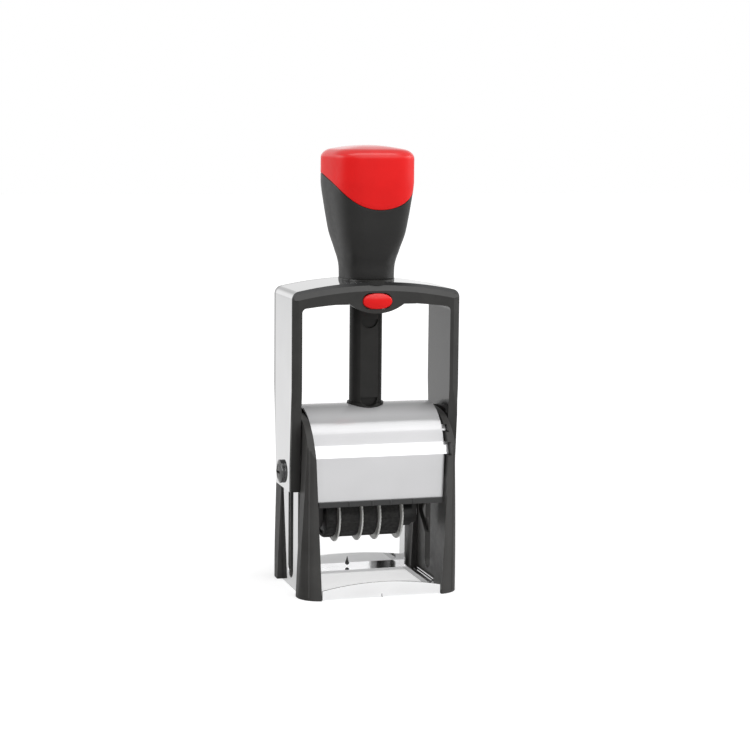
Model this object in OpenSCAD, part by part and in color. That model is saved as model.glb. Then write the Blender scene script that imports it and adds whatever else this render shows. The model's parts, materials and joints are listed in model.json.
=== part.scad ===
// Self-inking dater with a sliding yoke and a die carriage that turns over.
// Millimetres. X runs across the stamp, Y to the rear, Z up.
// The origin is at the middle of the footprint, on the surface it stands on.

/* [Impression] */
// Length of the impression, along X
die_l = 45; // [42:0.5:48]
// Depth of the impression, along Y
die_w = 30; // [27:0.5:31]
// Thickness of the rubber die
rubber_t = 2.3; // [1.8:0.1:3]
// Height of the raised bars on the rubber die
relief_h = 1; // [0.6:0.1:1.4]
// Thickness of the plate that carries the rubber
die_plate_t = 1.7; // [1.4:0.1:2.2]

/* [Stroke] */
// Travel of the handle from rest to print
stroke = 43; // [41:0.5:46]
// Pivot axis to the face of the die
die_reach = 8.2; // [7.8:0.1:9]
// Part of the stroke where the button locks the yoke for a pad change
pad_lock_stroke = 9; // [8:0.5:14]

/* [Date wheels] */
// Radius of a setting wheel
wheel_r = 12; // [11:0.25:12.5]
// Thickness of a setting wheel
wheel_t = 0.8; // [0.6:0.1:1.2]
// Teeth on a setting wheel
wheel_teeth = 44; // [30:2:56]
// Depth of a tooth
tooth_h = 0.5; // [0.3:0.1:0.7]
// Pivot axis to the wheel axle
wheel_drop = 20.1; // [19.5:0.1:21]
// Spacing of the two middle wheels
middle_pitch = 8.06; // [7:0.1:9]
// Spacing of each outer wheel from its neighbour
outer_pitch = 10.17; // [9:0.1:10.5]
// Radius of the drum that a band runs on
drum_r = 8.1; // [7.5:0.1:8.5]
// Thickness of a date band
band_t = 1.65; // [1.3:0.05:1.9]
// Length of the band left of the first wheel
first_band_l = 4.7; // [3.5:0.1:5]
// Radius of the wheel axle
axle_r = 2; // [1.6:0.1:2.4]

/* [Carriage] */
// Thickness of a cheek
cheek_t = 2.2; // [1.8:0.1:2.6]
// Radius of the pivot pins
pivot_r = 3; // [2.6:0.1:3.2]
// Radius of the pivot bosses
boss_r = 5; // [4.6:0.1:5.2]
// Pivot axis to the cam pins
cam_arm = 11; // [10:0.5:12]
// Radius of the cam pins
cam_pin_r = 2; // [1.6:0.1:2.2]

/* [Ink pad] */
// Thickness of the felt pad
felt_t = 5; // [4:0.5:6]
// Felt beyond the die on each side
felt_margin = 1; // [0.5:0.25:1.5]
// Wall of the pad tray
tray_wall = 1.2; // [0.9:0.1:1.6]

/* [Base] */
// Die to the inner corner of a foot
side_room = 4.2; // [3.9:0.1:5]
// Width of a foot at the floor
foot_w = 8.8; // [8.4:0.2:10.4]
// Depth of the frame in front of and behind the die
frame_margin = 14.2; // [13.6:0.2:16]
// Thickness of the steel base plate
plate_t = 1.2; // [1:0.1:1.5]
// Thickness of the steel side walls
side_wall_t = 0.8; // [0.6:0.1:1]
// Height of the front lip at its middle
front_lip_h = 6.8; // [6:0.2:7.6]
// Height of the rear lip at its middle
rear_lip_h = 7.3; // [6.5:0.2:8]
// Window margin round the die
window_margin = 3; // [2.5:0.25:3.4]
// Thickness of the moulded web between the legs
web_t = 2.8; // [2.4:0.1:3.2]
// Height of the arch over the pivot axis
arch_rise = 26.5; // [25:0.5:28]
// Radius at which the legs turn into the arch
arch_shoulder_r = 22; // [18:1:24]

/* [Cover] */
// Cover surface behind the front of the legs
cover_inset = 4; // [3.4:0.2:5]
// Axis of the round top over the pivot axis
cover_axis_rise = 3.7; // [3.2:0.1:4.5]
// Length of the flat front below the round top
cover_front_h = 13.2; // [11:0.2:15]
// Sheet thickness of the cover
cover_t = 1; // [0.8:0.1:1.2]
// Lower fold of the flat facet, over the axis of the round top
facet_rise = 5.4; // [4.6:0.2:6]
// Height of the flat facet between its folds
facet_h = 5.1; // [4.5:0.1:5.6]

/* [Column] */
// Radius of the guide column
column_r = 7.1; // [6.8:0.1:7.3]
// Column axis to its front and rear flats
column_flat = 5.9; // [5.6:0.1:6.2]
// Radius of the bore for the return spring
column_bore_r = 4.4; // [4.2:0.1:4.6]
// Wire diameter of the return spring
spring_wire = 1; // [0.8:0.1:1.2]
// Turns of the return spring
spring_turns = 22; // [18:1:26]

/* [Yoke] */
// Thickness of the yoke strip
strip_t = 1.5; // [1.2:0.1:1.8]
// Half depth of the guide block, which is where the bezel starts
strip_half = 12.85; // [12:0.25:13.5]
// Yoke axis to the rear edge of the strip
strip_rear = 14.9; // [14:0.25:16]
// Depth of the front bezel
bezel_d = 4.5; // [4:0.1:5]
// Depth of the bezel before the front edge of the strip
bezel_lap = 1.15; // [0.9:0.05:1.4]
// Taper of the arms at their front, down to the lower end
arm_front_in = 2.9; // [2:0.1:3.2]
// Taper of the arms at their rear, down to the lower end
arm_rear_in = 4.5; // [3:0.25:5]
// Height of the beam at its middle, below the crown
beam_h = 8.4; // [7.6:0.2:9.4]
// Rise of the crown over its ends
crown_rise = 3.4; // [2.4:0.2:4.4]
// Outer radius of the yoke's corners
yoke_corner_r = 3.6; // [3:0.2:5]
// Pivot axis to the lower end of the arms
arm_tail = 6.8; // [6.2:0.1:7.2]

/* [Button] */
// Half width of the oval button
button_half_w = 6.45; // [5.5:0.25:7]
// Half height of the oval button
button_half_h = 3.35; // [2.8:0.1:3.6]
// Travel of the button
button_travel = 1.6; // [1.2:0.1:1.7]

/* [Handle] */
// Half width of the neck
neck_half_w = 11.5; // [11.3:0.1:12.4]
// Half depth of the neck
neck_half_d = 11; // [10.6:0.1:12.2]
// Half width of the cap
cap_half_w = 18.3; // [17.5:0.1:20]
// Half depth of the cap
cap_half_d = 18.2; // [17.8:0.1:20]
// Height of the straight wall of the cap
cap_wall_h = 10; // [8:0.5:11]
// Radius of the cap's rim
cap_rim_r = 4.2; // [3:0.2:5]
// Crown of the cap's top
cap_crown = 1.5; // [0.8:0.1:2]
// Drop of the red tongue below the straight wall
tongue_drop = 12.2; // [9:0.2:13]
// Radius of the tongue's outline
tongue_r = 20.2; // [19.6:0.2:24]
// Tilt of the line between cap and grip
tongue_tilt = 7.5; // [6:0.5:12]
// Turn of the handle on its screws
handle_turn = 6; // [0:1:8]

/* [Clearances] */
// Running clearance of a shaft in its bore
run_clear = 0.05; // [0.03:0.01:0.08]
// Sliding clearance of guides
slide_clear = 0.25; // [0.15:0.05:0.35]
// Gap between pieces that pass each other
pass_gap = 0.5; // [0.4:0.05:0.7]

/* [Hidden] */
$fn = 64;

// Colours of the finishes
black_c = "#343331";
dark_c = "#262524";
red_c = "#e02a2a";
chrome_c = "#d4d6d8";
steel_c = "#a8abad";
wheel_c = "#e6e6e2";
rubber_c = "#1e1d1c";
felt_c = "#3a3f6b";

// Turn of the carriage: half a turn over the whole stroke
stroke_per_rad = stroke / PI;
function corner_lift(a) = die_reach * cos(a) + die_w / 2 * sin(a) - stroke_per_rad * a * PI / 180;
turn_lift = max([for (a = [0:1:45]) corner_lift(a)]) - die_reach;
face_gap = turn_lift + 0.2;
pivot_z = stroke + die_reach + face_gap;
face_z = pivot_z + die_reach;
pad_z = face_z + turn_lift + 0.35;

// Side stack, from the die outwards
foot_in = die_l / 2 + side_room;
foot_out = foot_in + foot_w;
inner_lean = 0.044;
outer_lean = 0.042;
web_in = foot_in + 2.9;
web_out = web_in + web_t;
wall_out = web_out + side_wall_t;
bezel_in = web_out + pass_gap;
bush_l = 2.25;
bush_gap = 0.3;
strip_in = wall_out + bush_gap + bush_l;
strip_out = strip_in + strip_t;
screw_head_r = 5.1;
screw_rim_h = 1.2;
screw_dome_h = 1;
head_slot = [2.4, 6.4, 1.1];

// Front to rear
frame_half = die_w / 2 + frame_margin;
bezel_front = strip_half + bezel_d;
strip_front = bezel_front - bezel_lap;
channel_front = bezel_front + pass_gap;
channel_rear = strip_rear + pass_gap;
wall_front = strip_half - 0.45;
wall_rear = strip_rear - 0.3;
foot_round = foot_w + 0.9;
lip_t = 1;
lip_inset = 0.9;
window_half_x = foot_in - 1.5;
window_half_y = die_w / 2 + window_margin + 1.5;
lip_half = foot_in - 0.4;
arch_z = pivot_z + arch_rise;
arch_crown_r = 60;

// Cover and pad housing
cover_r = frame_half - cover_inset;
cover_axis = pivot_z + cover_axis_rise;
cover_crest = cover_axis + cover_r;
cover_low = cover_axis - cover_front_h;
cover_edge_gap = 0.6;
facet_low = cover_axis + facet_rise;
facet_high = facet_low + facet_h;
cover_tab_out = web_in + 1;
upper_tab_low = facet_high + 4.4;
upper_tab_h = 2.4;
cover_tabs = [[facet_low, facet_high], [upper_tab_low, upper_tab_low + upper_tab_h]];
cover_tabs_in = web_in - 0.3;
tab_gap = 0.25;
felt_half_x = die_l / 2 + felt_margin;
felt_half_y = die_w / 2 + felt_margin;
tray_half_x = felt_half_x + tray_wall;
tray_half_y = felt_half_y + tray_wall;
tray_floor = pad_z + 1.2;
tray_top = pad_z + felt_t + tray_wall;
flange_t = 1.2;
flange_w = 1.5;
flange_z = pad_z + 1.8;
rail_t = 1.6;
rail_z = flange_z - slide_clear - rail_t;
housing_half = foot_in + 0.9;
housing_wall = 1.3;
housing_inner = housing_half - housing_wall;
housing_roof = tray_top + pass_gap;
roof_t = 1.8;
housing_top = housing_roof + roof_t;
liner_r = cover_r - cover_t;
liner_wall = 1.8;
bar_h = 2.3;
bar_proud = 1.2;
tick_w = 0.6;
rear_cut = housing_roof + 0.6;
function chord(r, h) = sqrt(max(r * r - h * h, 0.01));

// Yoke and column
collar_h = 0.6;
core_low = cover_crest + collar_h + 0.6 + stroke;
crown_z = core_low + beam_h + strip_t;
crown_half = strip_out - yoke_corner_r;
crown_r = (crown_half * crown_half + crown_rise * crown_rise) / (2 * crown_rise);
bezel_crown = crown_z - strip_t + 0.2;
bezel_out = strip_out - 0.2;
window_crown = core_low + 1.2;
window_rise = 2.3;
window_corner_r = 2;
arm_low = pivot_z - arm_tail;
taper_high = crown_z - 46;
taper_low = pivot_z + 5;
lining_in = wall_out + bush_gap;
lining_low = pivot_z + boss_r + 1;
lining_reach = die_l / 2 - 0.5;
wall_top = pivot_z + boss_r + 3.5;
button_z = core_low + 1.8;
bulge_r = 20;
bulge_low = core_low - 3.5;
bulge_d = 2.8;
core_half = 19;
button_rear = bezel_front - bulge_d - 0.2;
core_front = button_rear - button_travel - 0.2;
button_spring_l = 5;
button_seat = button_rear - button_spring_l;
column_top = crown_z + 5.2;
spring_r = column_bore_r - 0.3 - spring_wire / 2;
spring_floor = housing_top + 2;
tongue_tip = column_flat + 0.2;
latch_r = 3.5;

// Handle
seat_z = crown_z;
collar_top = crown_z + 2;
neck_corner_r = 9.5;
cap_corner_r = 12;
saddle_d = 0.6;
saddle_r = 9.6;
hollow_top = column_top + stroke + 2;
plug_top = hollow_top + 2;
cap_top = plug_top + 5.6;
cap_shoulder = cap_top - cap_crown - cap_rim_r;
cap_base = cap_shoulder - cap_wall_h;
tongue_z = cap_base - tongue_drop;
plug_half_w = cap_half_w - 4.7;
plug_half_d = cap_half_d - 5;
plug_r = 8;
hollow_r = column_r + slide_clear + 0.15;
screw_x = (hollow_r + neck_half_w) / 2;
screw_r = 1.15;
grip_screw_r = 2.1;
screw_bite = 10;
screw_slot = [2.4, 0.5, 1.6];

// Carriage
wheel_z = pivot_z - wheel_drop;
cheek_out = die_l / 2 - 0.1;
cheek_in = cheek_out - cheek_t;
boss_out = web_in - 0.8;
table_top = face_z - rubber_t - die_plate_t;
table_t = 2.2;
band_r = drum_r + slide_clear + band_t;
nose_r = 1.2;
nose_z = face_z - nose_r - band_t;
band_slope = asin((band_r - nose_r - band_t) / (nose_z - wheel_z));
// Half depth of the band loop, outside, at a height
function band_half(z) = (nose_r + band_t + (nose_z - z) * sin(band_slope)) / cos(band_slope);
// The wheels are set out from the left-hand cheek
band_gap = 0.3;
cheek_gap = 0.6;
first_wheel = -cheek_in + cheek_gap + first_band_l + band_gap + wheel_t / 2;
wheel_xs = [first_wheel, first_wheel + outer_pitch,
    first_wheel + outer_pitch + middle_pitch, first_wheel + 2 * outer_pitch + middle_pitch];
function band_right(i) = wheel_xs[i] - wheel_t / 2 - band_gap;
function band_left(i) = i == 0 ? band_right(0) - first_band_l : wheel_xs[i - 1] + wheel_t / 2 + band_gap;
nose_room = 0.4;
bridge_h = 7;
spacer_r = 6.5;

// Extrudes an outline drawn in X and Z from y0 to y1
module along_y(y0, y1) {
    translate([0, y1, 0]) rotate([90, 0, 0]) linear_extrude(y1 - y0) children();
}

// Extrudes an outline drawn in Y and Z from x0 to x1
module along_x(x0, x1) {
    translate([x0, 0, 0]) rotate([90, 0, 90]) linear_extrude(x1 - x0) children();
}

// A box between two corners
module block(low, high) {
    translate(low) cube(high - low);
}

// A round rod along X
module rod_x(x0, x1, y, z, r) {
    translate([x0, y, z]) rotate([0, 90, 0]) cylinder(r = r, h = x1 - x0);
}

// A round rod along Y
module rod_y(y0, y1, x, z, r) {
    translate([x, y1, z]) rotate([90, 0, 0]) cylinder(r = r, h = y1 - y0);
}

// The same piece on both sides of the stamp
module both_sides() {
    children();
    mirror([1, 0, 0]) children();
}

// Upright outline with a crowned top whose corners are tangent to the crown
module crowned(half, low, crown, big_r, corner) {
    centre = crown - big_r;
    corner_x = half - corner;
    corner_z = centre + sqrt(pow(big_r - corner, 2) - corner_x * corner_x);
    touch_x = corner_x * big_r / (big_r - corner);
    translate([-half, low]) square([2 * half, corner_z - low]);
    for (side = [-1, 1]) translate([side * corner_x, corner_z]) circle(corner);
    intersection() {
        translate([0, centre]) circle(big_r, $fn = 360);
        translate([-touch_x, low]) square([2 * touch_x, crown - low + 1]);
    }
}

// Outline round two circles on one upright line, the wider one below
module belt(low_z, low_r, high_z, high_r) {
    slope = asin((low_r - high_r) / (high_z - low_z));
    translate([0, low_z]) circle(low_r);
    translate([0, high_z]) circle(high_r);
    polygon([
        [low_r * cos(slope), low_z + low_r * sin(slope)],
        [high_r * cos(slope), high_z + high_r * sin(slope)],
        [-high_r * cos(slope), high_z + high_r * sin(slope)],
        [-low_r * cos(slope), low_z + low_r * sin(slope)]]);
}

// A slot along Z with round ends
module slot(z0, z1, r) {
    translate([-r, z0]) square([2 * r, z1 - z0]);
    translate([0, z0]) circle(r);
    translate([0, z1]) circle(r);
}

// Rounded rectangle made of squares and corner circles
module rounded(half_x, half_y, r) {
    translate([-half_x + r, -half_y]) square([2 * (half_x - r), 2 * half_y]);
    translate([-half_x, -half_y + r]) square([2 * half_x, 2 * (half_y - r)]);
    for (sx = [-1, 1], sy = [-1, 1]) translate([sx * (half_x - r), sy * (half_y - r)]) circle(r);
}

// Oval with flat top and bottom, round at both ends
module oval(half_w, half_h) {
    translate([-half_w + half_h, -half_h]) square([2 * (half_w - half_h), 2 * half_h]);
    for (side = [-1, 1]) translate([side * (half_w - half_h), 0]) circle(half_h);
}

// Half moon of the latch: the lower half of a round tongue
module half_moon(r) {
    intersection() {
        circle(r);
        translate([-r, -r]) square([2 * r, r]);
    }
}

// Base

// Lip with an arched upper edge
module lip(height, end_drop, y0, y1) {
    big_r = (lip_half * lip_half + end_drop * end_drop) / (2 * end_drop);
    along_y(y0, y1) intersection() {
        translate([-lip_half, 0]) square([2 * lip_half, height]);
        translate([0, height - big_r]) circle(big_r, $fn = 200);
    }
}

module chassis() {
    front = -frame_half + lip_inset;
    rear = frame_half - lip_inset - 0.6;
    mark_r = 1;
    rail_w = 0.9;
    ridge_w = 0.7;
    ridges = [[foot_in + 0.5, plate_t + 0.9], [foot_in + 1.7, plate_t + 1.7]];
    tab_x = foot_in - 0.8;
    tab_h = 21;
    color(chrome_c) difference() {
        union() {
            block([-lip_half, front, 0], [lip_half, rear, plate_t]);
            block([-wall_out, -wall_front, 0], [wall_out, wall_rear, plate_t]);
            lip(front_lip_h, 2.7, front, front + lip_t);
            lip(rear_lip_h, 1.8, rear - lip_t, rear);
            both_sides() {
                along_x(web_out, wall_out) chassis_wall();
                block([window_half_x, -window_half_y, 0], [window_half_x + rail_w, window_half_y, plate_t + rail_w]);
                block([tab_x - side_wall_t, window_half_y + 0.5, 0], [tab_x, rear, tab_h]);
                for (ridge = ridges)
                    block([ridge[0], -wall_front, 0], [ridge[0] + ridge_w, wall_rear, ridge[1]]);
            }
        }
        block([-window_half_x, -window_half_y, -1], [window_half_x, window_half_y, plate_t + 1]);
        along_y(rear - lip_t - 1, rear + 1) translate([0, plate_t + 1.6]) pointer(mark_r);
        along_y(front - 1, front + lip_t + 1) slot(0.2, 1.4, 0.35);
        both_sides() along_x(web_out - 1, wall_out + 1)
            slot(pivot_z - stroke, pivot_z, pivot_r + 1.4);
    }
}

// Side wall of the chassis
module chassis_wall() {
    translate([-wall_front, 0]) square([wall_front + wall_rear, wall_top]);
}

// Drop-shaped sighting mark
module pointer(r) {
    circle(r);
    polygon([[-r, 0], [r, 0], [0, 3.2 * r]]);
}

// Side view of the legs and the arch
module arch_outline(inset = 0) {
    crowned(frame_half - inset, 0, arch_z - inset, arch_crown_r - inset, arch_shoulder_r - inset);
}

// Plan of the two legs of the right-hand frame
module leg_plan() {
    translate([foot_in, 0]) {
        leg_plan_end(1, channel_rear);
        leg_plan_end(-1, channel_front);
    }
}

// One leg in plan, with its outer corner rounded
module leg_plan_end(side, channel) {
    depth = frame_half - channel;
    y0 = side > 0 ? channel : -frame_half;
    round_y = side * (frame_half - foot_round);
    difference() {
        translate([0, y0]) square([foot_w, depth]);
        difference() {
            translate([foot_w - foot_round, side > 0 ? round_y : round_y - foot_round - 1])
                square([foot_round + 1, foot_round + 1]);
            translate([foot_w - foot_round, round_y]) circle(foot_round);
        }
    }
}

// Front view of the tapering leg
module leg_taper() {
    top = arch_z + 1;
    polygon([[foot_in, 0], [foot_out, 0],
        [foot_out - outer_lean * top, top], [foot_in + inner_lean * top, top]]);
}

// Centre line of the cam groove at a turn of the carriage
function cam_point(a) = [cam_arm * sin(a), pivot_z - stroke_per_rad * a * PI / 180 - cam_arm * cos(a)];
function cam_normal(a) =
    let (d = [cam_arm * cos(a), -stroke_per_rad + cam_arm * sin(a)])
    [-d[1], d[0]] / norm(d);

// Inner edge of the groove; the points past the middle of its sharp bend are left out
function cam_inner(a, r) =
    let (p = cam_point(a) - r * cam_normal(a), bend = cam_point(90)[1])
    (a <= 90 ? p[1] >= bend : p[1] <= bend) ? [p] : [];

// Groove that turns the carriage, with round ends and an eased inner corner
module cam_groove(r) {
    bend_ease = 0.7;
    turns = [for (a = [0:4:180]) a];
    back = [for (i = [len(turns) - 1:-1:0]) turns[i]];
    polygon(concat([for (a = turns) cam_point(a) + r * cam_normal(a)],
        [for (a = back) each cam_inner(a, r)]));
    translate(cam_point(90) - [bend_ease, 0]) circle(r);
    translate(cam_point(0)) circle(r + 0.02);
    translate(cam_point(180)) circle(r + 0.02);
}

// Front and rear of the room for a tab of the cover that starts or ends at a height
function cover_tab_front(z) = -chord(cover_r, z - cover_axis) - tab_gap;
function cover_tab_rear(z) = -chord(cover_r - cover_t, z - cover_axis) + 1;

// Right-hand frame, with notches for the tabs that are open or closed at the front
module side_frame(open_notches) {
    groove_d = web_t - 1.2;
    cam_room = 0.4;
    difference() {
        union() {
            intersection() {
                linear_extrude(arch_z + 1) leg_plan();
                along_x(foot_in - 1, foot_out + 1) arch_outline();
                along_y(-frame_half - 1, frame_half + 1) leg_taper();
            }
            intersection() {
                along_x(web_in, web_out) arch_outline();
                block([web_in - 1, -frame_half, plate_t], [web_out + 1, frame_half, arch_z + 1]);
                block([web_in - 1, -frame_half + 2, 0], [web_out + 1, frame_half - 2, arch_z + 1]);
            }
        }
        along_x(web_in - 1, web_out + 1) slot(pivot_z - stroke, pivot_z, pivot_r + 0.6);
        along_x(web_in - 1, web_in + groove_d) cam_groove(cam_pin_r + cam_room);
        for (tab = cover_tabs)
            block([foot_in, open_notches ? -frame_half - 1 : cover_tab_front(tab[0]), tab[0] - tab_gap],
                [cover_tab_out + tab_gap, cover_tab_rear(tab[1]), tab[1] + tab_gap]);
    }
}

module right_side_frame() {
    color(black_c) side_frame(true);
}

module left_side_frame() {
    color(black_c) mirror([1, 0, 0]) side_frame(false);
}

// Side view of the cover sheet, seen from +X
module cover_outline(r, low) {
    translate([0, cover_axis]) circle(r, $fn = 128);
    translate([-r, low]) square([2 * r, cover_axis - low]);
}

// Front of the cover sheet outside its flat facet
module facet_cut() {
    polygon([[-cover_r - 1, cover_low - 1], [-cover_r, cover_low - 1], [-cover_r, cover_low],
        [-chord(cover_r, facet_low - cover_axis), facet_low],
        [-chord(cover_r, facet_high - cover_axis), facet_high], [-cover_r - 1, facet_high]]);
}

// Front view of the cover, with the tabs that hold it in the side frames
module cover_front() {
    half_low = foot_in + inner_lean * cover_low - cover_edge_gap;
    half_top = cover_tabs_in;
    polygon([[-half_low, cover_low], [half_low, cover_low], [half_top, cover_crest + 1],
        [-half_top, cover_crest + 1]]);
    for (tab = cover_tabs) translate([-cover_tab_out, tab[0]]) square([2 * cover_tab_out, tab[1] - tab[0]]);
}

module top_cover() {
    half = cover_tab_out;
    color(chrome_c) intersection() {
        difference() {
            along_x(-half, half) cover_outline(cover_r, cover_low);
            along_x(-half - 1, half + 1) cover_outline(cover_r - cover_t, cover_low - 1);
            along_x(-half - 1, half + 1) facet_cut();
            block([-half - 1, 0, cover_low - 1], [half + 1, cover_r + 1, rear_cut]);
            block([cover_tabs_in, 0, cover_low], [half + 1, cover_r + 1, cover_crest]);
            block([-half - 1, 0, cover_low], [-cover_tabs_in, cover_r + 1, cover_crest]);
            translate([0, 0, cover_axis]) cylinder(r = column_r + run_clear, h = cover_r + 1);
        }
        along_y(-cover_r - 1, cover_r + 1) cover_front();
    }
}

module pad_housing() {
    bar_low = cover_low - bar_h;
    roof_half = chord(liner_r, housing_top - cover_axis);
    wall_low = rail_z - 1;
    color(dark_c) union() {
        block([-housing_half, -liner_r, bar_low], [housing_half, -liner_r + liner_wall, cover_axis]);
        block([-housing_half, -cover_r - bar_proud, bar_low], [housing_half, -liner_r + 0.1, cover_low]);
        for (x = wheel_xs) block([x - tick_w / 2, -cover_r - bar_proud - tick_w / 2, bar_low],
            [x + tick_w / 2, -cover_r - bar_proud + 0.1, cover_low]);
        along_x(-housing_half, housing_half) intersection() {
            difference() {
                translate([0, cover_axis]) circle(liner_r, $fn = 128);
                translate([0, cover_axis]) circle(liner_r - liner_wall, $fn = 128);
            }
            translate([-liner_r, cover_axis]) square([liner_r, housing_top - cover_axis]);
        }
        block([-housing_half, -roof_half, housing_roof], [housing_half, roof_half, housing_top]);
        both_sides() {
            block([housing_inner, -felt_half_y - 4, wall_low], [housing_half, roof_half, housing_top]);
            block([tray_half_x + slide_clear, -felt_half_y - 4, rail_z], [housing_half, tray_half_y, rail_z + rail_t]);
        }
    }
}

module ink_pad_tray() {
    flange_half = housing_inner - slide_clear;
    grip_half = 9;
    color(black_c) difference() {
        union() {
            block([-tray_half_x, -tray_half_y, tray_floor], [tray_half_x, tray_half_y, tray_top]);
            block([-flange_half, -tray_half_y, flange_z], [flange_half, tray_half_y, flange_z + flange_t]);
            translate([0, tray_half_y, flange_z]) linear_extrude(tray_top - flange_z) intersection() {
                translate([0, 3.4 - grip_half * 1.6]) circle(grip_half * 1.6);
                translate([-grip_half, -0.1]) square([2 * grip_half, 4]);
            }
        }
        block([-felt_half_x, -felt_half_y, tray_floor - 1], [felt_half_x, felt_half_y, pad_z + felt_t]);
    }
}

module ink_pad_felt() {
    color(felt_c) block([-felt_half_x, -felt_half_y, pad_z], [felt_half_x, felt_half_y, pad_z + felt_t]);
}

// Round column with flats in front and behind
module column_section(r, flat) {
    intersection() {
        circle(r);
        square([2 * r + 1, 2 * flat], center = true);
    }
}

module guide_column() {
    collar_r = column_r + 0.9;
    stops = [0, pad_lock_stroke, stroke];
    color(dark_c) difference() {
        union() {
            translate([0, 0, housing_top]) linear_extrude(column_top - housing_top)
                column_section(column_r, column_flat);
            difference() {
                translate([0, 0, cover_crest - 3]) cylinder(r = collar_r, h = collar_h + 3);
                along_x(-collar_r - 1, collar_r + 1) cover_outline(cover_r, cover_low);
            }
        }
        translate([0, 0, spring_floor]) cylinder(r = column_bore_r, h = column_top);
        for (s = stops) along_y(-column_r - 1, -column_bore_r / 2)
            translate([0, button_z - s]) half_moon(latch_r + 0.3);
    }
}

// Return spring, one tube swept along a helix with closed ends
spring_low = spring_floor + spring_wire / 2 + 0.05;
spring_high = hollow_top - spring_wire / 2 - 0.05;
spring_rings = 8 * spring_turns;
spring_sides = 6;
end_turns = 1.25;
end_pitch = spring_wire + 0.5;
function spring_climb(t) =
    let (free = spring_high - spring_low - 2 * end_turns * end_pitch, mid = spring_turns - 2 * end_turns)
    t < end_turns ? t * end_pitch
    : t > spring_turns - end_turns ? spring_high - spring_low - (spring_turns - t) * end_pitch
    : end_turns * end_pitch + (t - end_turns) * free / mid;
function spring_point(i) =
    let (t = i / 8)
    [spring_r * cos(360 * t), spring_r * sin(360 * t), spring_low + spring_climb(t)];
function spring_ring(i) =
    let (a = 360 * i / 8, p = spring_point(i))
    [for (k = [0:spring_sides - 1])
        let (b = 360 * k / spring_sides)
        p + spring_wire / 2 * [cos(a) * cos(b), sin(a) * cos(b), sin(b)]];
spring_gap = min([for (i = [0:spring_rings - 8]) spring_point(i + 8)[2] - spring_point(i)[2]]) - spring_wire;

module return_spring() {
    echo(return_spring_gap = spring_gap);
    points = [for (i = [0:spring_rings]) each spring_ring(i)];
    last = spring_rings * spring_sides;
    sides = [for (i = [0:spring_rings - 1], k = [0:spring_sides - 1])
        let (n = (k + 1) % spring_sides, a = i * spring_sides, b = a + spring_sides)
        each [[a + k, b + k, b + n], [a + k, b + n, a + n]]];
    caps = concat([for (k = [1:spring_sides - 2]) [0, k, k + 1]],
        [for (k = [1:spring_sides - 2]) [last, last + k + 1, last + k]]);
    color(steel_c) polyhedron(points, concat(sides, caps));
}

// Yoke

module yoke_outline(inset, low) {
    crowned(strip_out - inset, low, crown_z - inset, crown_r - inset, yoke_corner_r - inset);
}

// Side view of the planes at which the arms taper towards their lower ends
module yoke_side(proud) {
    front = strip_front + proud;
    top = crown_z + 1;
    front_slope = arm_front_in / (taper_high - taper_low);
    rear_slope = arm_rear_in / (taper_high - arm_low);
    polygon([[-front + arm_front_in, arm_low - 1], [-front + arm_front_in, taper_low],
        [-front - front_slope * (top - taper_high), top], [strip_rear + rear_slope * (top - taper_high), top],
        [strip_rear - rear_slope * (taper_high - arm_low + 1), arm_low - 1]]);
}

module yoke_taper(proud = 0) {
    along_x(-strip_out - 2, strip_out + 2) yoke_side(proud);
}

module yoke_strip() {
    color(chrome_c) difference() {
        intersection() {
            along_y(-strip_front, strip_rear) yoke_outline(0, arm_low);
            yoke_taper();
        }
        along_y(-strip_front - 1, strip_rear + 1) yoke_outline(strip_t, arm_low - 1);
        translate([0, 0, core_low]) cylinder(r = hollow_r, h = crown_z);
        rod_x(-strip_out - 1, strip_out + 1, 0, pivot_z, pivot_r);
        for (side = [-1, 1]) translate([side * screw_x, 0, core_low]) cylinder(r = screw_r + 0.1, h = crown_z);
    }
}

// Opening of the yoke between its arms
module yoke_window(half) {
    window_r = (half * half + window_rise * window_rise) / (2 * window_rise);
    crowned(half, arm_low - 1, window_crown, window_r, window_corner_r);
}

// Front view of the bezel without its bulge
module bezel_outline() {
    difference() {
        crowned(bezel_out, arm_low, bezel_crown, crown_r, yoke_corner_r);
        yoke_window(bezel_in);
    }
}

// Lining inside the strip, on the right-hand arm
module arm_liner() {
    intersection() {
        along_y(-strip_half - 0.1, strip_rear) difference() {
            yoke_outline(strip_t, arm_low);
            yoke_window(lining_in);
        }
        block([lining_reach, -strip_half - 0.1, lining_low], [strip_in, strip_rear, crown_z]);
        yoke_taper();
    }
}

// Room in the bezel for the front edge of the strip
module strip_edge() {
    edge_gap = 0.05;
    intersection() {
        along_y(-strip_front, -strip_half + 1) difference() {
            yoke_outline(-1, arm_low - 1);
            yoke_outline(strip_t + edge_gap, arm_low - 2);
        }
        yoke_taper();
    }
}

// Round bulge of the beam that holds the button
module bulge_outline() {
    intersection() {
        translate([0, bulge_low + bulge_r]) circle(bulge_r);
        translate([-bulge_r, bulge_low]) square([2 * bulge_r, window_crown - bulge_low + 2]);
    }
}

// Cone and plane cuts that bevel the front edge of the bezel
module bezel_envelope() {
    bevel_h = 2.4;
    bevel_d = bezel_lap + 0.05;
    edge = bezel_lap;
    centre = bezel_crown - crown_r;
    intersection() {
        translate([0, 0, centre]) rotate([90, 0, 0]) union() {
            translate([0, 0, bezel_front - bevel_d])
                cylinder(r1 = crown_r, r2 = crown_r - bevel_h, h = bevel_d, $fn = 200);
            translate([0, 0, -strip_half]) cylinder(r = crown_r, h = bezel_front + strip_half - bevel_d, $fn = 200);
        }
        linear_extrude(collar_top) polygon([[-bezel_out, strip_half], [-bezel_out, -bezel_front + edge],
            [-bezel_out + edge, -bezel_front], [bezel_out - edge, -bezel_front],
            [bezel_out, -bezel_front + edge], [bezel_out, strip_half]]);
    }
}

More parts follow.
